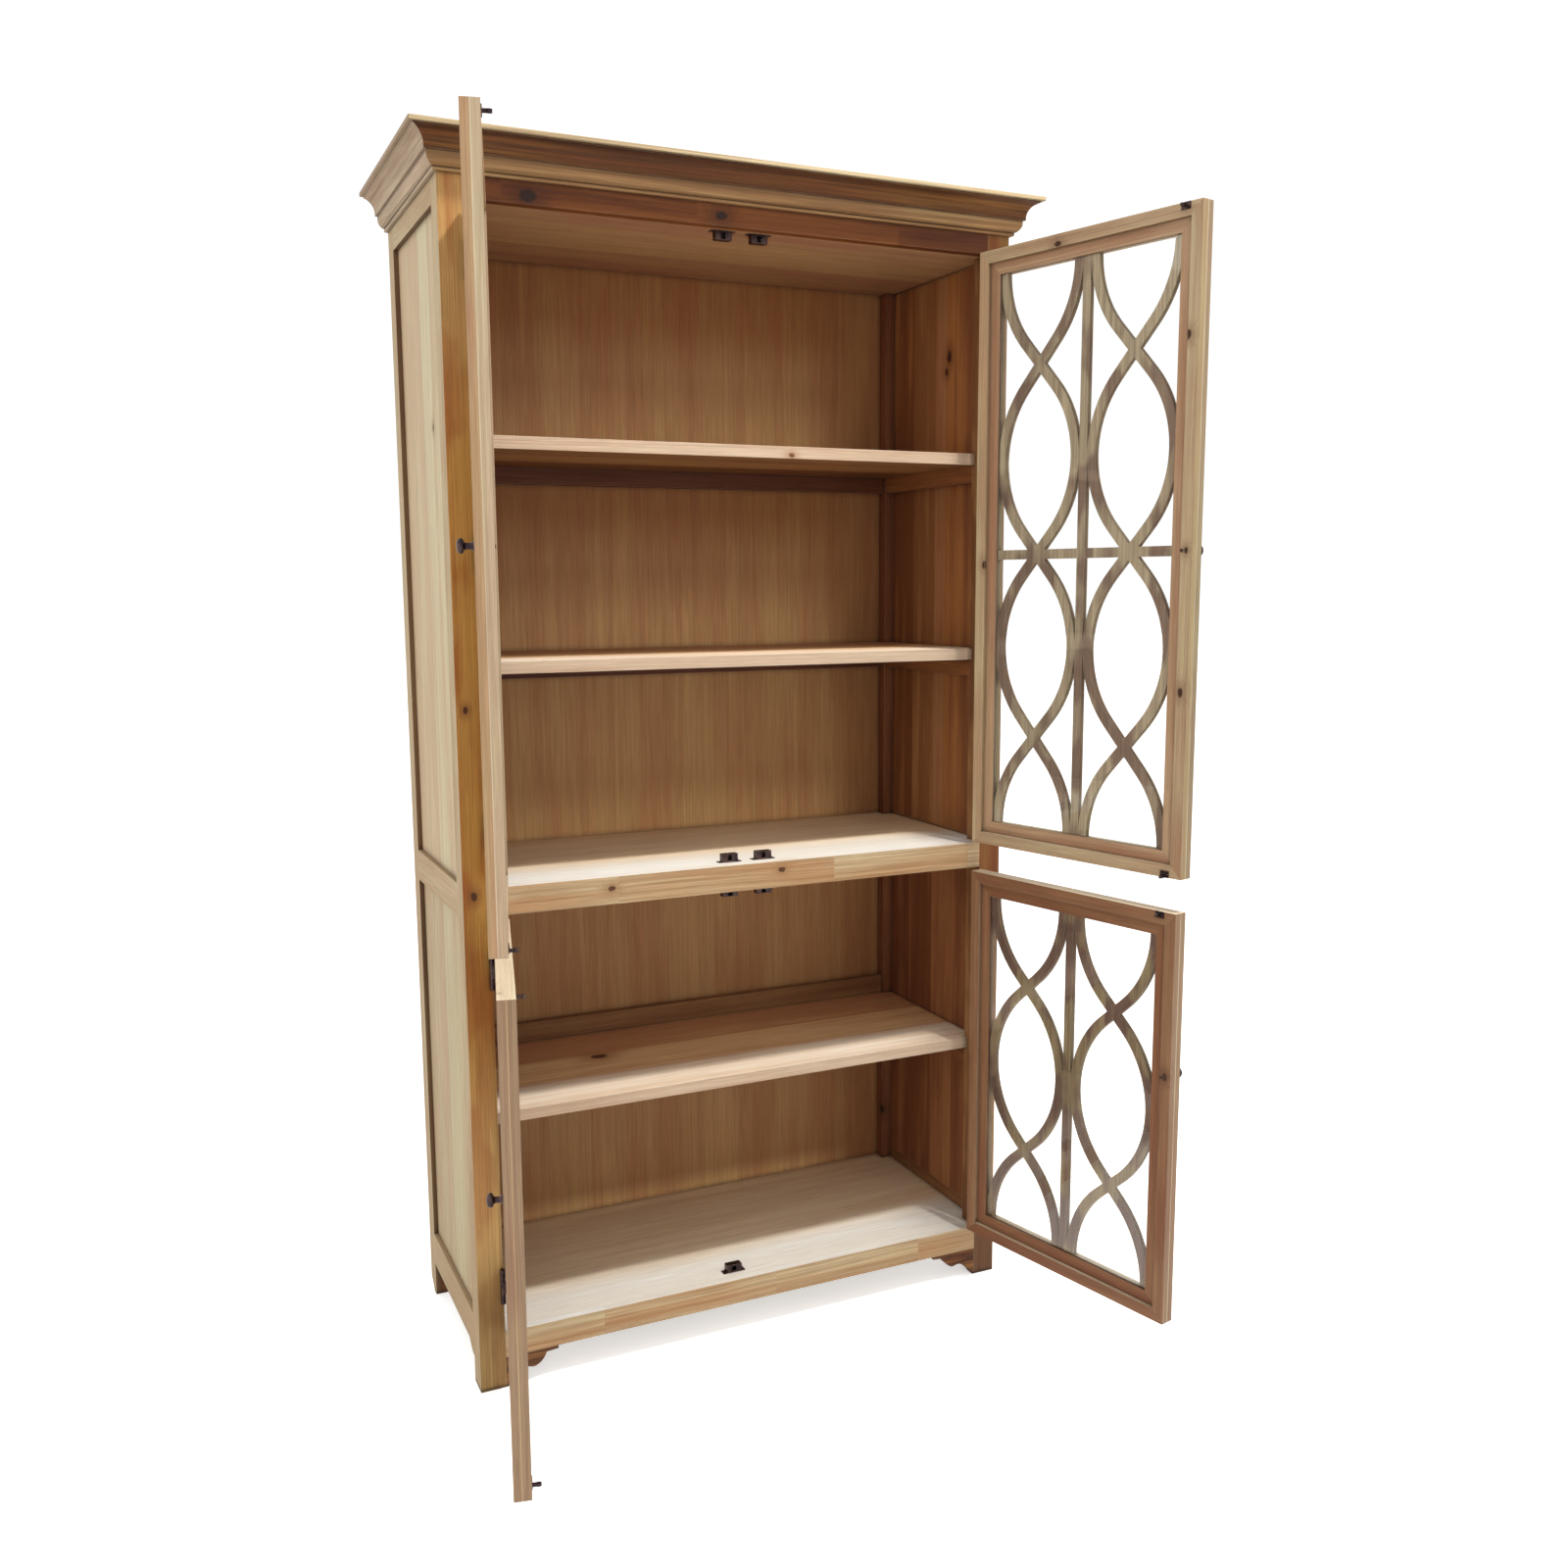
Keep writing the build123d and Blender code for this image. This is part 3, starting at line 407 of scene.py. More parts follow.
# %% Where each door hangs
Hanging = namedtuple("Hanging", "pin swing")
doors = {}
for joint in frame["joints"]:
    shut_angle = joint["axis"][2] * joint["range_deg"][0]
    pin_foot = Vector((*joint["pos_m"][:2], 0))
    doors[joint["child"]] = Hanging(pin_foot, -radians(shut_angle))
print("doors:", {name: round(door.swing, 3) for name, door in doors.items()})


def as_if_shut(node, body):
    """The corners of a door's member, from the foot of its pin, with the door shut."""
    unswing = Matrix.Rotation(-doors[body].swing, 3, "Z")
    return [unswing @ (v.co - doors[body].pin) for v in frame["nodes"][node].data.vertices]


# %% [markdown]
# The cabinet is softwood under a thin stain that went on unevenly. A stain is four colours,
# and a finish is a stain with a figure: how wide the rings are, how strongly they and the
# streaks show, how far the rings wander, and how knotty the wood is. Each tone could be a
# finish of its own, but where one board changes tone its figure runs on, so a member has
# one finish, and its other faces have only stains.

# %% What stains and finishes hold
Finish = namedtuple("Finish", "stain ring_width ring_strength streak_strength wander "
                              "knot_share knot_size")


def stain(codes):
    """Four colours from their codes: of pale, warm and late wood, and of knots."""
    return [from_code(code) for code in codes.split()]


def finish(codes, *figure):
    """A stain with the six numbers of a figure."""
    return Finish(stain(codes), *figure)


def stained(wood, codes):
    """The figure of one wood under another stain."""
    return wood._replace(stain=stain(codes))


# %% [markdown]
# On this cabinet one post shows three shades: its front, its bleached outside and its dark
# inside. The mesh could be cut apart for that, but it would gain edges that the wood does
# not have. A member keeps one material instead, and masks pick the stain by the way a
# surface looks, by a plane that it lies beyond, or by both.

# %% Faces and zones
Face = namedtuple("Face", "looks stain zone", defaults=(None,))


def faces(*rows):
    """Faces with another stain, each (direction looked, stain or finish[, zone])."""
    return [Face(looks, getattr(other, "stain", other), *zone) for looks, other, *zone in rows]


def beyond(axis, start, end=None):
    """A zone past a plane across an axis, or one that fades in from start to end."""
    return axis, start, start + 0.0001 if end is None else end


def zone_mask(tree, point, zone):
    """1 where a point lies in a zone."""
    axis, start, end = zone
    return fade(tree, vector_calc(tree, "DOT_PRODUCT", point, axis), start, end)


def member_mask(tree, face, point, facing):
    """1 where a surface looks a face's way, if it has one, and lies in its zone."""
    masks = []
    if face.looks:
        masks.append(calc(tree, "GREATER_THAN",
                          vector_calc(tree, "DOT_PRODUCT", facing, face.looks), 0.7))
    if face.zone:
        masks.append(zone_mask(tree, point, face.zone))
    return masks[0] if len(masks) == 1 else calc(tree, "MULTIPLY", *masks)


def level_in_ring(tree, point, ring):
    """1 in the level members of a ring, which its mitres part from the upright ones."""
    half_width, half_height, middle = ring
    away = vector_calc(tree, "ABSOLUTE", vector_calc(tree, "SUBTRACT", point, middle))
    from_side = calc(tree, "SUBTRACT", half_width, split(tree, away, "X"))
    from_end = calc(tree, "SUBTRACT", half_height, split(tree, away, "Z"))
    return calc(tree, "LESS_THAN", from_end, from_side)


# %% [markdown]
# A timber material starts from the member's own coordinates, turns them so that the grain
# lies along X, and shifts them so that the pith of the log lies outside the member. The
# colour then gets its rubbed arrises, painted shade in its inner corners and a darker band
# at the foot, and the height of the same figure makes the bump, so that a ring that looks
# hard also catches the light. One function builds it for every member, because only the
# numbers change from board to board.

# %% A material for one wooden member
GRAIN_TURN = {"x": (0, 0, 0), "y": (0, 0, -pi / 2), "z": (0, pi / 2, 0)}
NO_KNOT = 0.0001


def timber_material(title, wood, grain, pith, strips=None, lengths=None, door=None,
                    other_faces=(), knots=(), turned=None, rounding=0.0014, reach=0.013,
                    patches=None, level_zone=None):
    """A wood material for a member whose grain runs along x, y or z.

    pith is the shift of the log, strips is (width, start, contrast) across the grain,
    lengths is (length, contrast) along it, knots are (place, radius) on the member, turned
    is (half width, half height, middle) of a mitred ring whose level members have level
    grain, rounding is the radius of the arrises, reach is how far the painted shade of the
    inner corners spreads, patches is how far the tone wanders over a hand's width, and
    level_zone has its grain along x.
    """
    material, tree, surface = new_material(title)
    coordinates = place(tree, "ShaderNodeTexCoord").outputs
    point, facing = coordinates["Object"], coordinates["Normal"]
    if door:
        hung = doors[door]
        point = moved(tree, point, "TEXTURE", Location=hung.pin, Rotation=(0, 0, hung.swing))
        facing = moved(tree, facing, "TEXTURE", Rotation=(0, 0, hung.swing))
    turn = GRAIN_TURN[grain]
    along = moved(tree, point, "POINT", Rotation=turn, Location=pith)
    if turned or level_zone:
        level = moved(tree, point, "POINT", Location=pith)
        is_level = (level_in_ring(tree, point, turned) if turned
                    else zone_mask(tree, point, level_zone))
        along = place(tree, "ShaderNodeMix", {0: is_level, 4: along, 5: level},
                      data_type="VECTOR").outputs[1]

    log, tone = along, 0.0
    if strips:
        log, tone = apply_group(tree, glued_strips, along, *strips)
    if lengths:
        log, tone = apply_group(tree, jointed_lengths, along, *lengths)
    if patches:
        slow = noise(tree, along, (6, 14, 14))
        tone = fade(tree, slow, 0.42, 0.58, -patches, patches)
    into_grain = Matrix.Rotation(turn[1], 3, "Y") @ Matrix.Rotation(turn[2], 3, "Z")
    knot_inputs = {"Knot A Size": NO_KNOT, "Knot B Size": NO_KNOT}
    for name, (middle, radius) in zip(("Knot A", "Knot B"), knots):
        knot_inputs[name] = into_grain @ Vector(middle) + Vector(pith)
        knot_inputs[f"{name} Size"] = radius
    masks = [(member_mask(tree, face, point, facing), face.stain) for face in other_faces]
    stains = {}
    for number, name in enumerate(("Pale", "Warm", "Late Wood", "Knot")):
        stains[name] = wood.stain[number]
        for mask, other in masks:
            stains[name] = mix_colour(tree, mask, stains[name], other[number])
    timber = place(tree, "ShaderNodeGroup",
                   {"Vector": log, "Member": along, "Tone": tone, **knot_inputs, **stains,
                    "Ring Width": wood.ring_width, "Wander": wood.wander,
                    "Knot Share": wood.knot_share, "Knot Size": wood.knot_size,
                    "Ring Strength": wood.ring_strength,
                    "Streak Strength": wood.streak_strength},
                   node_tree=timber_colour).outputs

    normal, rubbed = apply_group(tree, worn_arris, rounding, along)
    light_edge = mix_colour(tree, 0.5, timber["Colour"], from_code("f4e2c8"))
    colour = mix_colour(tree, calc(tree, "MULTIPLY", rubbed, 0.6), timber["Colour"], light_edge)
    if reach:
        # Painted shade: dark brown mixed in where the corner mask finds inner corners and the
        # foot.
        darkening = apply_group(tree, corner_shade_and_foot_band, point, reach)["Darkening"]
        shade_colour = mix_colour(tree, 0.75, colour, from_code("2b1a10"))
        colour = mix_colour(tree, calc(tree, "MULTIPLY", darkening, 0.85), colour, shade_colour)
    bump = place(tree, "ShaderNodeBump", {"Height": timber["Height"], "Normal": normal,
                                          "Strength": 0.35, "Distance": 0.0012})
    fill(tree, surface, {"Base Color": colour, "Roughness": timber["Roughness"],
                         "Normal": bump.outputs[0], "Specular IOR Level": 0.3})
    return material


def dress(node, material):
    """Puts one material on a member."""
    mesh = frame["nodes"][node].data
    mesh.materials.clear()
    mesh.materials.append(material)


def clad(node, wood, grain, pith, **details):
    """Dresses a member in a timber material that is called after it."""
    dress(node, timber_material(node.replace("_", " "), wood, grain, pith, **details))


# %% [markdown]
# The carcass front is stained amber, the outsides have bleached towards grey-green, and the
# inside is a deep red-brown, darker low down and at the back. One stain could be darkened
# by a noise, but each place has a stain of its own. Some stains also carry painted shade:
# the dark rear posts, the recess beside the side panels, and the undersides of the side
# rails and of the shelves.

# %% Woods and stains of the posts and sides
amber = finish("b9883f a05e24 73411a 4a2812", 0.0046, 0.45, 0.30, 0.012, 0.30, 0.009)
amber_shade = stained(amber, "956b35 81491e 5c3215 4a2812")
amber_top = stain("be9458 a56934 784828 4a2812")
amber_foot = stain("e7c07d ce9c61 9a6a40 4a2812")
amber_low = stain("a38550 916b3d 6b4827 4a2812")
foot_shade = stain("725439 674026 4f2c14 4f2d14")
bleached = finish("c8bb97 c0a584 917956 5e4733", 0.0052, 0.35, 0.22, 0.010, 0.25, 0.006)
bleached_low = stain("bdb08b b59b7a 89714f 5e4733")
rail_bleached = finish("b9a580 af916c 866c4b 5e4733", 0.0050, 0.35, 0.30, 0.010, 0.25, 0.006)
# Partly painted shade: a dark stain for the recess beside the side panels and the undersides of
# the side rails, painted with the shade that lies there.
recess_brown = stain("80613f 674a30 4a3420 35220f")
# wall_mid is a darker copy of the inside stain and wall_plain a lighter one; on the undersides of
# the shelves wall_mid partly paints the shade there.
wall_mid = stain("9b6f45 744b2b 54321b 3f2213")
wall_plain = stain("c48f5a 93613a 6a4225 3f2213")
wall_low = stain("a06942 774629 552e19 3f2213")
wall_dark = stain("bd7f4a 804e2d 60391d 301a0e")
wall_tan = stain("ac7951 98643a 673f27 3f2213")
wall_red = stain("a9703f 7e4d2f 5d361d 3a1d10")
# Partly painted shade: the dark stain of the rear posts also paints the shade of the back
# corners.
corner_dark = finish("905a34 724328 512a17 241208", 0.0050, 0.40, 0.30, 0.012, 0.00, 0.010)
print("pale amber:", [round(share, 3) for share in amber.stain[0]])

# %% [markdown]
# The carcass members come first. Posts and stiles are cut with the grain upright, rails and
# shelves with it across, side rails with it front to back, as a joiner would for strength.
# One log could serve them all, but then neighbours would match, so each member gets its own
# place in the log and no two show the same figure.

# %% Carcass posts and sides
OUT = {"left": (-1, 0, 0), "right": (1, 0, 0)}
IN = {"left": (1, 0, 0), "right": (-1, 0, 0)}
FRONT, BACK, UP, DOWN = (0, -1, 0), (0, 1, 0), (0, 0, 1), (0, 0, -1)
front_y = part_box("post_front_left")[0][1]
recess_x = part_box("side_panels_right")[1][0]
post_wood = {"left": (amber, amber_top), "right": (amber_shade, amber_shade)}
low_foot = {"left": amber_low, "right": foot_shade}
pale_foot, dull_foot = beyond(DOWN, -0.75, -0.30), beyond(DOWN, -0.32, -0.12)
brown_top, low_bays = beyond(UP, 1.62, 1.95), beyond(DOWN, -0.92)
lower_tier = beyond(DOWN, -0.88)
post_knots = {"left": (((-0.534, front_y, 1.246), 0.005), ((-0.531, front_y, 0.922), 0.007)),
              "right": ()}
rear_knots = {"left": (), "right": (((0.5, 0.43, 0.226), 0.009),)}
panel_knots = {"left": (((-0.541, 0.168, 1.73), 0.006),),
               "right": (((0.525, 0.2, 1.918), 0.010), ((0.525, 0.21, 1.888), 0.007))}
for number, side in enumerate(("left", "right")):
    outward, inward = OUT[side], IN[side]
    clad(f"post_front_{side}", post_wood[side][0], "z", (3.1 * number, 0.06, 0.045),
         patches=0.2, knots=post_knots[side],
         other_faces=faces((FRONT, amber_foot, pale_foot), (FRONT, low_foot[side], dull_foot),
                           (FRONT, post_wood[side][1], brown_top), (outward, rail_bleached),
                           (inward, wall_mid), (BACK, bleached)))
    # The rear posts are dark, partly as painted shade of the back corners; the strip facing the
    # recess is partly painted shade too.
    clad(f"post_rear_{side}", corner_dark, "z", (5.3 + number, -0.5, 0.03),
         knots=rear_knots[side],
         other_faces=faces((outward, rail_bleached), (BACK, bleached),
                           (FRONT, recess_brown, beyond(outward, recess_x - 0.0005))))
    panel_low, panel_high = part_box(f"side_panels_{side}")
    board = (panel_high[1] - panel_low[1]) / 4
    joint_back = panel_low[1] + 3 * board
    joint_middle = panel_low[1] + 2 * board
    clad(f"side_panels_{side}", bleached, "z", (9.0 + number, 0.0, 0.2),
         strips=(board, panel_low[1], 0.6), knots=panel_knots[side],
         other_faces=faces((outward, bleached_low, lower_tier), (inward, wall_plain),
                           (inward, wall_dark, beyond(BACK, joint_back)),
                           (inward, wall_tan, beyond(FRONT, -joint_middle)),
                           (inward, wall_red, beyond(FRONT, 0.04 - joint_middle)),
                           (inward, wall_low, low_bays)))
    # The undersides of the side rails are dark, partly as painted shade.
    clad(f"side_rails_{side}", rail_bleached, "y", (2.0 + number, 0.58, 0.07),
         other_faces=faces((inward, wall_mid), (DOWN, recess_brown)))
print(len(bpy.data.materials), "materials so far")

# %% [markdown]
# The front rails are golden where hands and light reach them and dark brown at the top. The
# decks were left almost raw, the shelves are pale at the front and stained behind, and the
# back keeps a warm brown. All of it is the same pine, so these rows differ mostly in stain.

# %% Woods and stains of the rails, back, decks and shelves
top_rail_brown = finish("7b4415 5a2905 3d1801 2a1206", 0.0050, 0.40, 0.35, 0.012, 0.25, 0.010)
golden = finish("c4b18c b28a62 8a633c 4f2d14", 0.0050, 0.50, 0.50, 0.012, 0.35, 0.010)
back_brown = finish("b48958 a9774c 885a38 5d3a21", 0.0090, 0.10, 0.30, 0.006, 0.00, 0.010)
# Painted light and shade on the back: a brighter copy for the bay over the middle deck, shade
# under the shelves, shade at the right end, and a glow just above each floor.
back_painted_bright = stain("bd935e b27f51 8f613c 5d3a21")
back_painted_shade = stain("a0703e 966035 784927 5d3a21")
back_painted_corner_shade = stain("a5784a 9a6840 7c4e2e 5d3a21")
back_painted_glow = stain("e7bc80 d9a46f af7d53 5d3a21")
batten_brown = finish("916740 7a4e2c 5f3920 47280f", 0.0060, 0.25, 0.30, 0.008, 0.00, 0.010)
# Painted shade: the dark stain of the cleats behind the sides, under the shelf above.
batten_painted_shade = stain("6b3c22 562b17 3d1a0d 47280f")
ceiling_brown = finish("ac885d 9d6f53 79563e 653f26", 0.0070, 0.20, 0.30, 0.008, 0.00, 0.010)
cleat_brown = finish("a36a3d 6e4024 522e17 301a0e", 0.0050, 0.40, 0.35, 0.012, 0.10, 0.010)
raw_deck = finish("ebe9e2 e4ddd0 d2c5b0 a58769", 0.0060, 0.25, 0.20, 0.010, 0.00, 0.010)
# Painted light: the warm bounce light in the shaded back of each deck.
deck_back_painted_light = stain("f3ddba e7caa4 c39e76 a58769")
shelf_pine = finish("f3e8d6 e6d0b6 c4a07c 6d442c", 0.0052, 0.35, 0.28, 0.012, 0.12, 0.009)
shelf_edge = stain("c8b198 b79476 9c7354 6d442c")
shelf_inside = stain("e1b787 c08962 936240 4f2d1a")
print("raw deck:", [round(share, 3) for share in raw_deck.stain[0]])

# %% [markdown]
# Rails run from post to post and are glued up from short lengths. Behind them, the back
# boards are painted palest just above each deck and shelf and darkest under the next shelf:
# painted light and shade, because the light from the front reaches only the lower part of a
# bay. Lamps alone leave the boards too even, so each bay also fades from a painted glow to a
# painted shade with height, the bay over the middle deck is painted brighter, and the right
# end of the back is painted in shade.

# %% Front rails, back and ceiling
clad("rail_front_top", top_rail_brown, "x", (0.4, 0.05, -2.06), lengths=(0.35, 0.35),
     knots=(((-0.4, front_y, 2.097), 0.012), ((-0.052, front_y, 2.1), 0.009)))
clad("rail_front_middle", golden, "x", (1.7, 0.03, -0.86), lengths=(0.30, 0.06),
     knots=(((-0.281, front_y, 0.912), 0.006), ((0.059, front_y, 0.917), 0.006)),
     other_faces=faces((UP, raw_deck)))
clad("rail_front_bottom", golden, "x", (4.2, 0.03, -0.05), lengths=(0.30, 0.06),
     other_faces=faces((UP, raw_deck)))
# Painted light and shade: each bay fades from a painted glow above its floor to a painted shade
# under the next shelf.
bay_painted_light = []
for floor, painted_glow_height, wood, shade in (("bottom_deck", 0.05, back_brown, back_brown),
                                        ("middle_deck", 0.12, back_painted_bright, back_painted_bright),
                                        ("shelf_upper_low", 0.17, back_brown, back_painted_shade),
                                        ("shelf_upper_high", 0.17, back_brown, back_painted_shade)):
    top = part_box(floor)[1][2]
    fade_end = top + painted_glow_height
    bay_painted_light += [(None, back_painted_glow, beyond(UP, top)),
                   (None, wood, beyond(UP, top, fade_end)),
                   (None, shade, beyond(UP, fade_end, fade_end + 0.12))]
# Painted shade over the right end of the back.
bay_painted_light.append((None, back_painted_corner_shade, beyond((1, 0, 0), 0.30, 0.48)))
clad("back_panels", back_brown, "z", (0.0, -0.3, 0.0), strips=(0.25, 0.0, 0.12),
     other_faces=faces(*bay_painted_light))
clad("back_rails", batten_brown, "x", (6.0, -0.4, 0.1), reach=0.004)
clad("ceiling_board", ceiling_brown, "x", (2.0, 0.1, -2.0), strips=(0.2, 0.0, 0.4))
print(len(bay_painted_light), "zones on the back panels")

# %% [markdown]
# Decks and shelves are wide boards glued up from strips, which a shelf maker picks for
# width and not for colour. Their front edges and the back of the shelves took other stains.
# The back of each deck lies in shade, and there the colour is painted with the warm light
# that bounces off the brown inside, so a zone across the depth changes the colour along
# each board. The undersides of the shelves and the cleats behind the sides carry painted
# shade.

# %% Decks, shelves and cleats
deck_depth, shelf_depth = beyond(BACK, 0.10, 0.22), beyond(BACK, 0.16, 0.19)
# Painted light: towards the back each deck fades to the warm colour of bounced light.
for number, deck in enumerate(("middle_deck", "bottom_deck")):
    clad(deck, raw_deck, "x", (11.0 + number, 0.0, 0.08 - number * 0.3),
         strips=(0.21, 0.02, 0.3), other_faces=faces((UP, deck_back_painted_light, deck_depth)))
shelf_knots = {"shelf_lower": (((-0.234, 0.283, 0.5106), 0.014),),
               "shelf_upper_high": (((0.101, 0.064, 1.695), 0.005),)}
# The undersides take wall_mid, the darker inside stain, which partly paints the shade under each
# shelf.
for number, shelf in enumerate(("shelf_upper_high", "shelf_upper_low", "shelf_lower")):
    clad(shelf, shelf_pine, "x", (14.0 + number * 2.3, 0.0, 0.06 + number * 0.3),
         strips=(0.118, 0.066, 0.9), knots=shelf_knots.get(shelf, ()),
         other_faces=faces((DOWN, wall_mid), (FRONT, shelf_edge),
                           (UP, shelf_inside, shelf_depth)))
# Painted shade: behind the sides the cleats take the shade of the shelf above.
behind_sides = beyond(BACK, 0.432)
clad("shelf_cleats", cleat_brown, "y", (3.0, 0.5, 0.4), reach=0.004,
     level_zone=behind_sides, other_faces=faces((None, batten_painted_shade, behind_sides)))
print(len(bpy.data.materials), "materials so far")

# %% [markdown]
# The cornice is one moulding in three mitred lengths: a round ovolo below, a hollow cove
# over it, and a thin fillet on top. The upper part of the hollow lies in the fillet's
# shadow, and that shade is painted into it as a darker stain; the fillet is rubbed pale.
# Each form could be a solid, but it is one piece of wood, so zones by height give the
# shades. The brackets between the feet are cut from wilder wood full of knots.

# %% Cornice, top board and feet
cove_brown = finish("8a5a24 6f3c17 402207 2c1708", 0.0046, 0.60, 0.85, 0.010, 0.2, 0.008)
# Painted shade: the upper hollow of the cove, in the fillet's shadow.
cove_painted_shade = stain("6c3f17 542b0f 331905 2c1708")
ovolo_tan = stain("b79766 a1784e 734e2e 4a2c17")
fillet_cream = stain("bfaf8d b59f7a 917855 6b5236")
cornice_pale = finish("c4ad90 ad9177 6b543b 4e3a29", 0.0046, 0.45, 0.55, 0.010, 0.1, 0.006)
bracket_brown = finish("a9713c 5a2f16 281106 26120a", 0.0060, 0.70, 0.70, 0.060, 1.0, 0.016)
cornice_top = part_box("cornice_front")[1][2]
cove_low, fillet_low = cornice_top - 0.040, cornice_top - 0.0072
cove_hollow = beyond(UP, cove_low + 0.019, cove_low + 0.031)
clad("cornice_front", cove_brown, "x", (0.2, 0.1, -2.1),
     other_faces=faces((None, cove_painted_shade, cove_hollow),
                       (None, ovolo_tan, beyond(DOWN, -cove_low)),
                       (None, fillet_cream, beyond(UP, fillet_low))))
for number, side in enumerate(("left", "right")):
    clad(f"cornice_{side}", cornice_pale, "y", (1.2 + number, 0.6, -2.1))
clad("top_board", golden, "x", (7.7, 0.0, -2.1), strips=(0.15, 0.0, 0.5))
clad("foot_brackets", bracket_brown, "x", (8.8, 0.02, 0.02))
print("cove from", round(cove_low, 4), "to", round(fillet_low, 4), "m")

# %% [markdown]
# The upper doors are a light tan and the lower ones russet. The lattice slats were cut from
# thinner stock and took the stain greyer and greener than the frames, and their sides, cut
# across the board, are darker than their faces, partly as painted shade along the slats.

# %% Woods and stains of the doors
door_pine = finish("bfaa85 a78262 7b5c46 3f2717", 0.0048, 0.42, 0.32, 0.010, 0.25, 0.007)
stile_tan = stain("d4c99f b99976 896e55 3f2717")
door_russet = stained(door_pine, "96704f 835439 5f3b27 3f2717")
bead_pine = finish("bd9e7b a87c5d 795842 3f2717", 0.0048, 0.42, 0.32, 0.010, 0.15, 0.007)
bead_russet = stained(bead_pine, "976f4d 855539 603c27 3f2717")
edge_cream = stain("c6b693 bda286 997b5b 503b2a")
edge_tan = stain("bea479 b28967 896746 503a2a")
edge_olive = stain("af9b71 a28764 7b6346 503a2a")
edge_grey = stain("a3926f 93795f 6f5a44 503a2a")
edge_seam = stain("d8cbae cdb89c a08866 503b2a")
edge_rose = stain("a08568 936f56 6f4e39 46301f")
slat_face = stain("cdba9a 99806d 60493a 58402d")
slat_low = stain("a9936f 806457 533829 58402d")
# Partly painted shade: the darker stain of the slats' sides.
slat_side = finish("8f7d5e 7a5f48 4d3a29 3a2a1c", 0.0055, 0.30, 0.45, 0.010, 0.0, 0.010)
print("slat faces:", [round(share, 3) for share in slat_face[0]])

# %% [markdown]
# The doors use the same recipe in their own coordinates. Each frame is two layers glued
# face to face, so its lock edge shows two tones with a thin line between them. The layers
# could be two meshes, but the joinery has them as one, so zones across the thickness draw
# them. The beads are a mitred ring, whose level members need level grain.

# %% Door frames and lattice
door_tags = ("upper_left", "upper_right", "lower_left", "lower_right")
knob_low, knob_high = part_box("knob_upper_right")
bolt_level = (knob_low[2] + knob_high[2]) / 2
edge_layers = {"upper_left": (edge_tan, edge_cream), "lower_left": (edge_rose, edge_rose),
               "upper_right": (edge_grey, edge_olive), "lower_right": (edge_rose, edge_rose)}
stile_knots = {"upper_right": (((-0.489, 0.0325, 1.268), 0.007),
                               ((-0.491, 0.0325, bolt_level), 0.0045)),
               "lower_right": (((-0.490, 0.0325, 0.581), 0.006),
                               ((-0.476, 0.0325, 0.583), 0.0045))}
rail_knots = {"upper_right": (((-0.195, 0.0325, 2.062), 0.006),)}
seam_start, seam_end = beyond(BACK, 0.0176), beyond(BACK, 0.0190)
hinge_side = beyond((1, 0, 0), -0.1)
for number, tag in enumerate(door_tags):
    body = f"door_{tag}"
    upper = tag.startswith("upper")
    frame_wood, bead_wood, slat_wood = ((door_pine, bead_pine, slat_face) if upper
                                        else (door_russet, bead_russet, slat_low))
    lock = IN[tag.split("_")[1]]
    outer_layer, inner_layer = edge_layers[tag]
    seam = edge_tan if tag == "lower_left" else edge_seam
    # The top faces take the pale seam stain and the bottom faces a darker tan, partly as painted
    # light from above and painted shade beneath.
    edges = faces((lock, outer_layer), (lock, seam, seam_start),
                  (lock, inner_layer, seam_end), (UP, edge_seam), (DOWN, edge_tan))
    hinge_stile = faces((BACK, stile_tan, hinge_side)) if tag == "upper_right" else []
    clad(f"stiles_{tag}", frame_wood, "z", (20 + number * 1.9, 0.04, 0.1), door=body,
         knots=stile_knots.get(tag, ()), other_faces=edges + hinge_stile)
    clad(f"rails_{tag}", frame_wood, "x", (30 + number * 1.9, 0.04, 0.1), door=body,
         knots=rail_knots.get(tag, ()), other_faces=edges)
    low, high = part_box(f"glazing_beads_{tag}")
    widths = [corner.x for corner in as_if_shut(f"glazing_beads_{tag}", body)]
    left_x, right_x = min(widths), max(widths)
    ring = ((right_x - left_x) / 2, (high[2] - low[2]) / 2,
            ((left_x + right_x) / 2, 0, (high[2] + low[2]) / 2))
    clad(f"glazing_beads_{tag}", bead_wood, "z", (40 + number, 0.05, 0.1), door=body,
         turned=ring)
    clad(f"lattice_{tag}", slat_side, "z", (50 + number, 0.05, 0.1), door=body,
         rounding=0.003, reach=None, patches=0.45,
         other_faces=faces((FRONT, slat_wood), (BACK, slat_wood)))
print(len(bpy.data.materials), "materials so far")

# %% [markdown]
# The panes are plain clear glass, three millimetres thick. Glass has no grain, but a pane
# that has been wiped is never quite even, so faint smears change the roughness and a very
# slow wave in the normal bends what is seen in it. Lamps are hidden from a glass slab in
# a path tracer, so the material turns transparent for shadow rays and lets them through
# to the lattice behind.

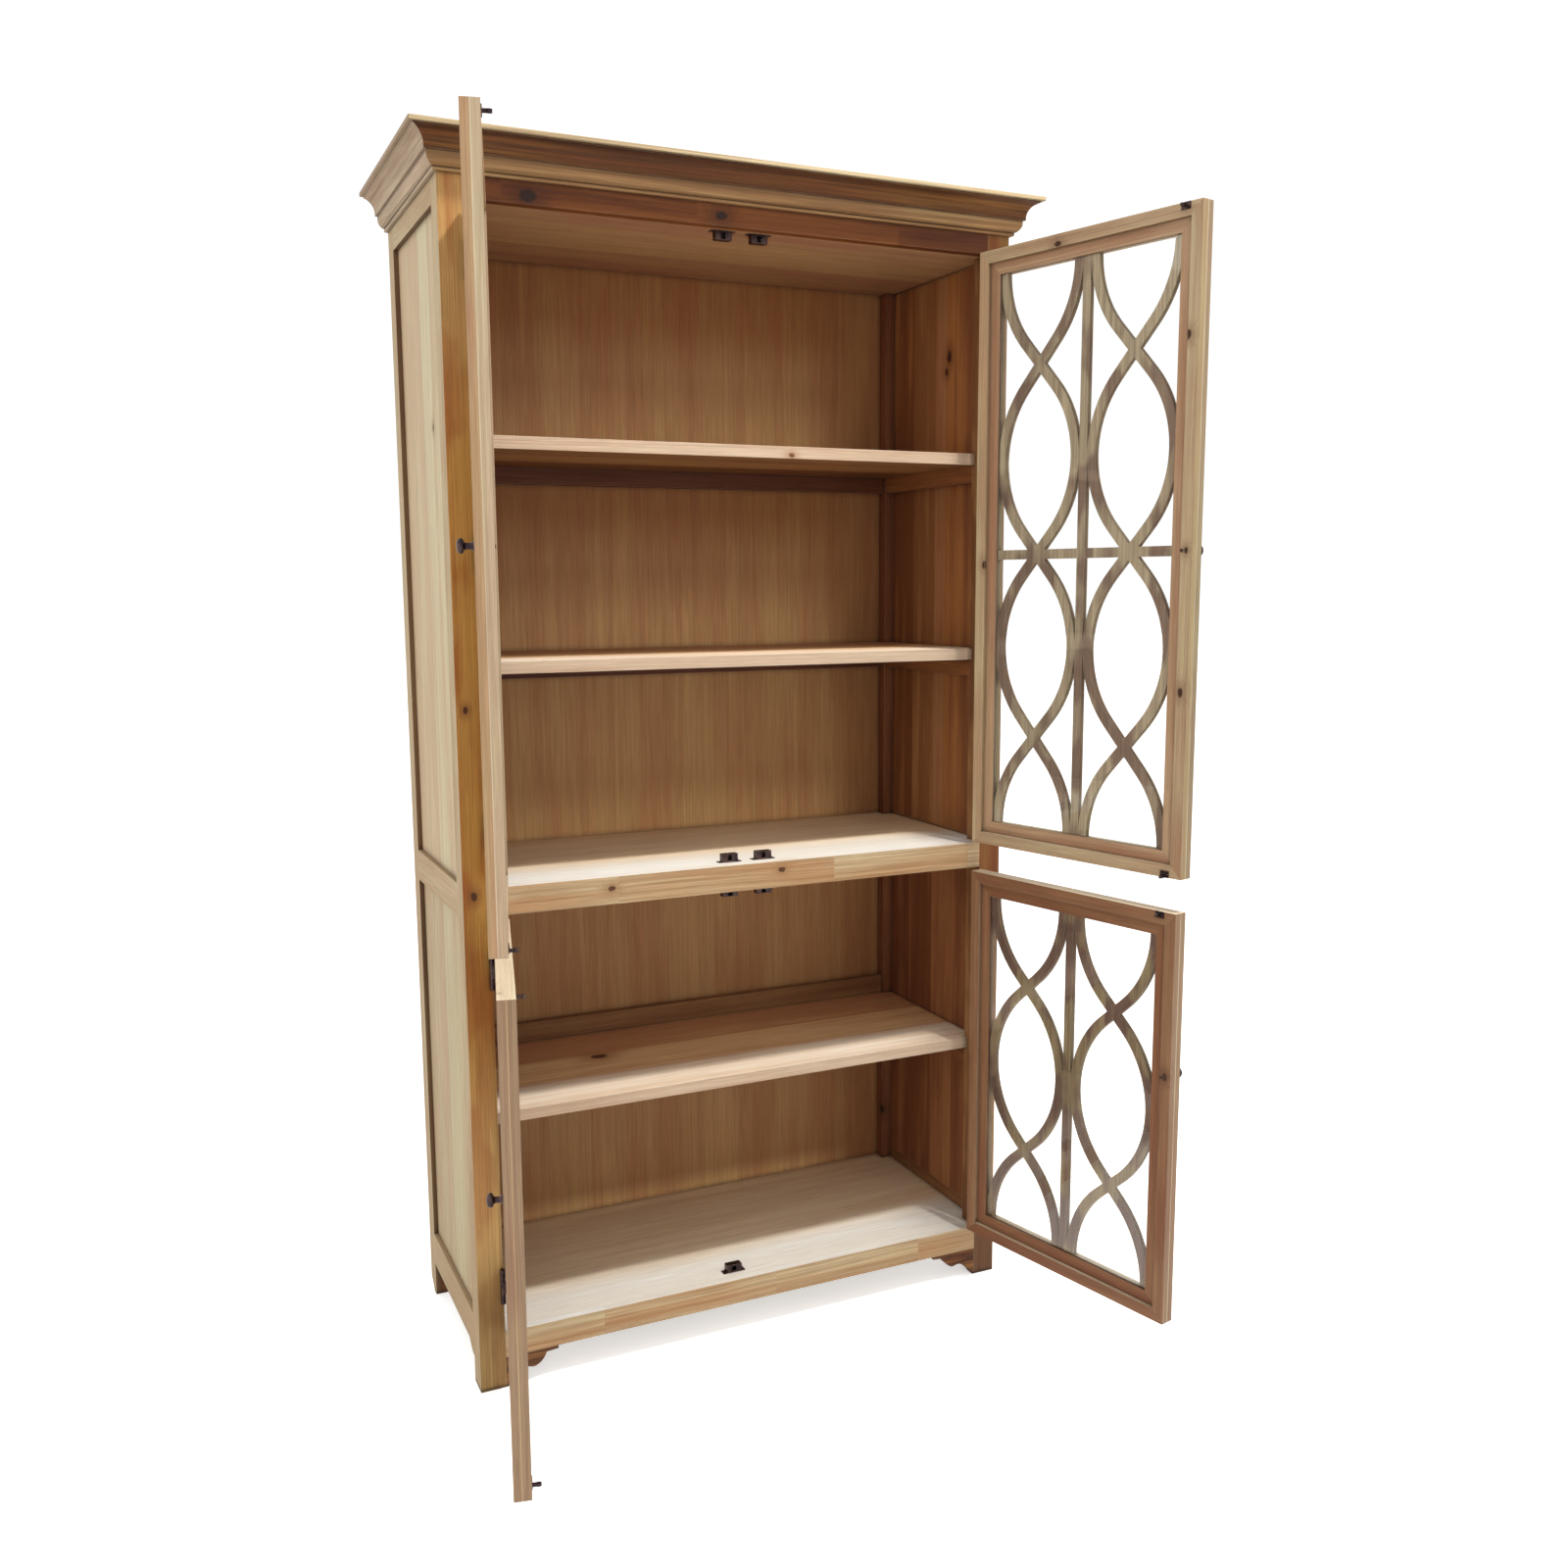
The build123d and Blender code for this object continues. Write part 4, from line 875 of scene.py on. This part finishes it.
# %% Clear glass
def clear_glass():
    """Window glass with faint wipe marks that lets lamps through."""
    material, tree, surface = new_material("clear glass")
    point = place(tree, "ShaderNodeTexCoord").outputs["Object"]
    smears = noise(tree, point, (9, 9, 3), detail=4.0)
    waves = noise(tree, point, (3, 3, 2))
    bump = place(tree, "ShaderNodeBump",
                 {"Height": waves, "Strength": 0.05, "Distance": 0.002})
    fill(tree, surface, {"Roughness": fade(tree, smears, 0.45, 0.8, 0.0, 0.03),
                         "Normal": bump.outputs[0], "Base Color": (0.985, 0.993, 0.988, 1),
                         "Transmission Weight": 1.0, "IOR": 1.45})
    shadow_ray = place(tree, "ShaderNodeLightPath").outputs["Is Shadow Ray"]
    clear = place(tree, "ShaderNodeBsdfTransparent", {"Color": (0.94, 0.95, 0.945, 1)})
    either = place(tree, "ShaderNodeMixShader",
                   {0: shadow_ray, 1: surface.outputs[0], 2: clear.outputs[0]})
    fill(tree, tree.nodes["Material Output"], {"Surface": either.outputs[0]})
    return material


pane_glass = clear_glass()
print(pane_glass.name, "of", len(pane_glass.node_tree.nodes), "nodes")

# %% [markdown]
# Knobs, hinges, catches and spears are steel under a dark bronze lacquer. The lacquer is
# thick in the hollows and rubbed through at the arrises, where a warmer metal shows. Two
# noises at different scales keep the dark areas from looking like plastic.

# %% Dark bronze and bright steel
def metal_material(title, dark, rubbed, worn_share, roughness):
    """A lacquered metal that is rubbed bright at its arrises."""
    material, tree, surface = new_material(title)
    point = place(tree, "ShaderNodeTexCoord").outputs["Object"]
    mottle = noise(tree, point, (260, 260, 260), detail=3.0)
    blotch = noise(tree, point, (55, 55, 55))
    normal, arris = apply_group(tree, worn_arris, 0.0007, point)
    wear = calc(tree, "MULTIPLY", arris, worn_share)
    wear = calc(tree, "MULTIPLY_ADD", fade(tree, mottle, 0.55, 0.75), 0.22, wear)
    wear = calc(tree, "MINIMUM", wear, 1.0)
    lacquer = mix_colour(tree, fade(tree, blotch, 0.35, 0.65), from_code(dark), from_code(rubbed))
    lacquer = mix_colour(tree, 0.72, lacquer, from_code(dark))
    bump = place(tree, "ShaderNodeBump", {"Height": mottle, "Normal": normal,
                                          "Strength": 0.15, "Distance": 0.0003})
    fill(tree, surface, {"Base Color": mix_colour(tree, wear, lacquer, from_code(rubbed)),
                         "Roughness": fade(tree, mottle, 0.3, 0.7,
                                           roughness - 0.08, roughness + 0.12),
                         "Normal": bump.outputs[0], "Metallic": 1.0})
    return material


dark_bronze = metal_material("dark bronze", "3a3036", "8d7260", 0.8, 0.36)
bright_steel = metal_material("bright steel", "8b8c8e", "c9cacb", 0.5, 0.28)
dress("hinge_frame_leaves", dark_bronze)
dress("catch_bodies", dark_bronze)
dress("catch_rollers", bright_steel)
for tag in door_tags:
    dress(f"glass_{tag}", pane_glass)
    for part in ("knob", "hinge_leaves", "catch_spears"):
        dress(f"{part}_{tag}", dark_bronze)
print(len(bpy.data.materials), "materials in all")

# %% [markdown]
# Hinge leaves, catches and spear plates are held by small countersunk screws. Their threads
# are never seen, so only the heads are made: each is a shallow dome turned about its axis,
# with the four points where a cross slot would cut it pushed in. All the heads that move
# with one body make one mesh, which rides on it.

# %% Screw heads
# One screw head in shares of its radius: (reach, height) of each ring, and its cross slot.
HEAD_RINGS = ((0.22, 0.08), (0.55, 0.16), (0.80, 0.14), (1.0, 0.0), (1.0, -0.3))
HEAD_MIDDLE, SLOT_DEPTH, SLOT_REACH, STEPS = -0.12, 0.30, 0.6, 16


def add_screw(shape, centre, facing, radius):
    """Adds one screw head to a mesh being built, looking along facing."""
    turn = Vector(facing).to_track_quat("Z", "Y").to_matrix()
    middle = shape.verts.new(Vector(centre) + turn @ Vector((0, 0, HEAD_MIDDLE * radius)))
    previous = None
    for reach, height in HEAD_RINGS:
        ring = []
        for step in range(STEPS):
            angle = 2 * pi * step / STEPS
            in_slot = step % 4 == 0 and reach < SLOT_REACH
            lift = height - SLOT_DEPTH if in_slot else height
            spot = Vector((cos(angle) * reach, sin(angle) * reach, lift)) * radius
            ring.append(shape.verts.new(Vector(centre) + turn @ spot))
        for step in range(STEPS):
            beside = (step + 1) % STEPS
            if previous:
                shape.faces.new((previous[step], previous[beside], ring[beside], ring[step]))
            else:
                shape.faces.new((middle, ring[beside], ring[step]))
        previous = ring


def add_object(title, data):
    """A new object in the scene."""
    piece = bpy.data.objects.new(title, data)
    bpy.context.scene.collection.objects.link(piece)
    return piece


def add_mesh(title, shape, material):
    """A new object from a mesh that was built by hand."""
    mesh = bpy.data.meshes.new(title)
    shape.to_mesh(mesh)
    shape.free()
    mesh.materials.append(material)
    return add_object(title, mesh)


def screw_set(title, body, heads):
    """One mesh of screw heads, each (centre, facing, radius), that rides on a body."""
    shape = bmesh.new()
    for head in heads:
        add_screw(shape, *head)
    bmesh.ops.recalc_face_normals(shape, faces=shape.faces)
    piece = add_mesh(title, shape, dark_bronze)
    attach(piece, body)
    print(title, len(heads), "heads")


# %% [markdown]
# A hinge leaf has three screws in a triangle and a spear plate has two side by side. They
# could be placed by eye, but then they would drift off when the joinery changes, so their
# places are worked out from the members that they hold.

# %% Screws on the doors and posts
LEAF_SPOTS = ((0.008, -0.023), (0.017, 0.0), (0.008, 0.023))
LEAF_SCREW, PLATE_SCREW, FLUSH = 0.0024, 0.0017, 0.0001
hinge_from_top = 0.095
hinge_from_foot = {"upper": 0.095, "lower": 0.085}
leaf_stand, outer_face, plate_face = 0.0044, 0.005, 0.0341
plate_spacing = 0.0124
post_face = abs(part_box("post_front_left")[1][0])
carcass_heads = []
for tag in door_tags:
    side = -1 if tag.endswith("left") else 1
    body = f"door_{tag}"
    pin = doors[body].pin
    swing = Matrix.Rotation(doors[body].swing, 3, "Z")
    low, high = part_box(f"stiles_{tag}")
    levels = [low[2] + hinge_from_foot[tag[:5]], high[2] - hinge_from_top]
    if "upper" in tag:
        levels.append((low[2] + high[2]) / 2)
    heads = []
    for level in levels:
        for inward, above in LEAF_SPOTS:
            centre = (side * (post_face - FLUSH), front_y + inward, level + above)
            carcass_heads.append((centre, (-side, 0, 0), LEAF_SCREW))
            spot = Vector((side * (FLUSH - leaf_stand), outer_face + inward, level + above))
            heads.append((pin + swing @ spot, swing @ Vector((side, 0, 0)), LEAF_SCREW))
    spears = as_if_shut(f"catch_spears_{tag}", body)
    plate = [v for v in spears if v.y < plate_face + FLUSH]
    for above_middle in (True, False):
        half = [v for v in plate if (v.z > (low[2] + high[2]) / 2) == above_middle]
        if half:
            middle_x = (min(v.x for v in half) + max(v.x for v in half)) / 2
            middle_z = (min(v.z for v in half) + max(v.z for v in half)) / 2
            for across in (-plate_spacing / 2, plate_spacing / 2):
                spot = Vector((middle_x + across, plate_face, middle_z))
                heads.append((pin + swing @ spot, swing @ Vector(BACK), PLATE_SCREW))
    screw_set(f"screws_{tag}", body, heads)
screw_set("screws_post_leaves", "carcass", carcass_heads)

# %% [markdown]
# Each roller catch stands on its shelf or hangs from its rail by a thin base plate with a
# screw at either end. All the catches are one mesh, so the plates are found by their
# outer ends, and the arms above or below a plate tell which way up its catch is.

# %% Screws in the catches
CATCH_SCREW, catch_spacing, catch_from_middle = 0.0019, 0.0386, 0.035
arm_low, arm_high = 0.010, 0.020
catch_low, catch_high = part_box("catch_bodies")
plate_end = catch_high[0] - 0.0005
catch_spots = [v.co for v in frame["nodes"]["catch_bodies"].data.vertices]
catch_heads = []
for side in (-1, 1):
    own = [spot for spot in catch_spots if spot.x * side > 0]
    levels = sorted({round(spot.z, 4) for spot in own if abs(spot.x) > plate_end})
    for under, over in zip(levels[::2], levels[1::2]):
        stands = any(over + arm_low < spot.z < over + arm_high for spot in own)
        for across in (-catch_spacing / 2, catch_spacing / 2):
            centre = (side * catch_from_middle + across, (catch_low[1] + catch_high[1]) / 2,
                      over if stands else under)
            catch_heads.append((centre, UP if stands else DOWN, CATCH_SCREW))
screw_set("screws_catches", "carcass", catch_heads)

# %% [markdown]
# The studio is a pale floor in white surroundings that light everything evenly. An image of
# a real studio could do that too, but plain white shows the stains as they are. One small
# lamp hangs high in front, a little to the right, so steeply that each shelf shades what
# is under it but for a bright strip at the front. A wide weak lamp fills in the left side.

# %% Floor and light
def seen_directly(tree):
    """1 for what the camera sees, also through glass."""
    ray = place(tree, "ShaderNodeLightPath").outputs
    return calc(tree, "MAXIMUM", ray["Is Camera Ray"], ray["Is Transmission Ray"])


def lay_floor():
    """A wide pale floor, level with the feet."""
    material, tree, surface = new_material("pale floor")
    point = place(tree, "ShaderNodeTexCoord").outputs["Object"]
    cloud = noise(tree, point, (0.8, 0.8, 0.8))
    glow = mix_colour(tree, seen_directly(tree), (0, 0, 0, 1), (0.5, 0.5, 0.5, 1))
    fill(tree, surface, {"Base Color": mix_colour(tree, cloud, from_code("f6f5f2"),
                                                  from_code("f1f0ee")),
                         "Roughness": fade(tree, cloud, 0.2, 0.8, 0.75, 0.85),
                         "Emission Color": glow, "Emission Strength": 1.0})
    shape = bmesh.new()
    bmesh.ops.create_grid(shape, x_segments=4, y_segments=4, size=30)
    add_mesh("floor", shape, material)


def hang_lamp(title, place_at, aim, size, power, tint):
    """A square soft lamp that looks at a point."""
    lamp = bpy.data.lights.new(title, "AREA")
    lamp.shape = "SQUARE"
    lamp.size = size
    lamp.energy = power
    lamp.color = tint
    holder = add_object(title, lamp)
    holder.location = place_at
    holder.rotation_euler = (Vector(aim) - Vector(place_at)).to_track_quat("-Z", "Y").to_euler()


lay_floor()
hang_lamp("key lamp", place_at=(0.7, -0.9, 4.0), aim=(0, 0.1, 0.6), size=0.22, power=96,
          tint=(1.0, 0.99, 0.97))
hang_lamp("left fill", place_at=(-4.2, -1.2, 2.4), aim=(-0.3, 0.3, 1.1), size=2.4, power=30,
          tint=(0.98, 0.99, 1.0))

world = bpy.data.worlds.new("white studio")
world.use_nodes = True
tree = world.node_tree
fill(tree, tree.nodes["Background"],
     {"Color": (1.0, 1.0, 1.0, 1),
      "Strength": fade(tree, seen_directly(tree), 0, 1, 1.0, 1.12)})
bpy.context.scene.world = world
bpy.context.scene.view_settings.view_transform = "Standard"
print("lamps:", {lamp.name: lamp.energy for lamp in bpy.data.lights})

# %% [markdown]
# The camera stands a little above the middle of the cabinet and to its left, so that the
# open left doors are seen almost edge on and the right ones in full. It could be aimed at
# a point, but then its roll would be lost, so its turn is built from the three angles of a
# tripod head: a heading, a tilt and a small roll.

# %% Camera
camera_data = bpy.data.cameras.new("camera")
camera_data.lens = 32.63
camera_data.sensor_width = 36
camera = add_object("camera", camera_data)
stand = Vector((-1.0583, -2.3937, 1.4576))
heading, tilt, roll = radians(-24.881), radians(-8.026), radians(-0.294)
ahead = Vector((-sin(heading) * cos(tilt), cos(heading) * cos(tilt), sin(tilt)))
level = Vector((cos(heading), sin(heading), 0))
upright = level.cross(ahead)
right = cos(roll) * level + sin(roll) * upright
above = right.cross(ahead)
camera.matrix_world = Matrix((
    (right.x, above.x, -ahead.x, stand.x),
    (right.y, above.y, -ahead.y, stand.y),
    (right.z, above.z, -ahead.z, stand.z),
    (0, 0, 0, 1)))
bpy.context.scene.camera = camera
print("camera at", [round(value, 3) for value in camera.location])
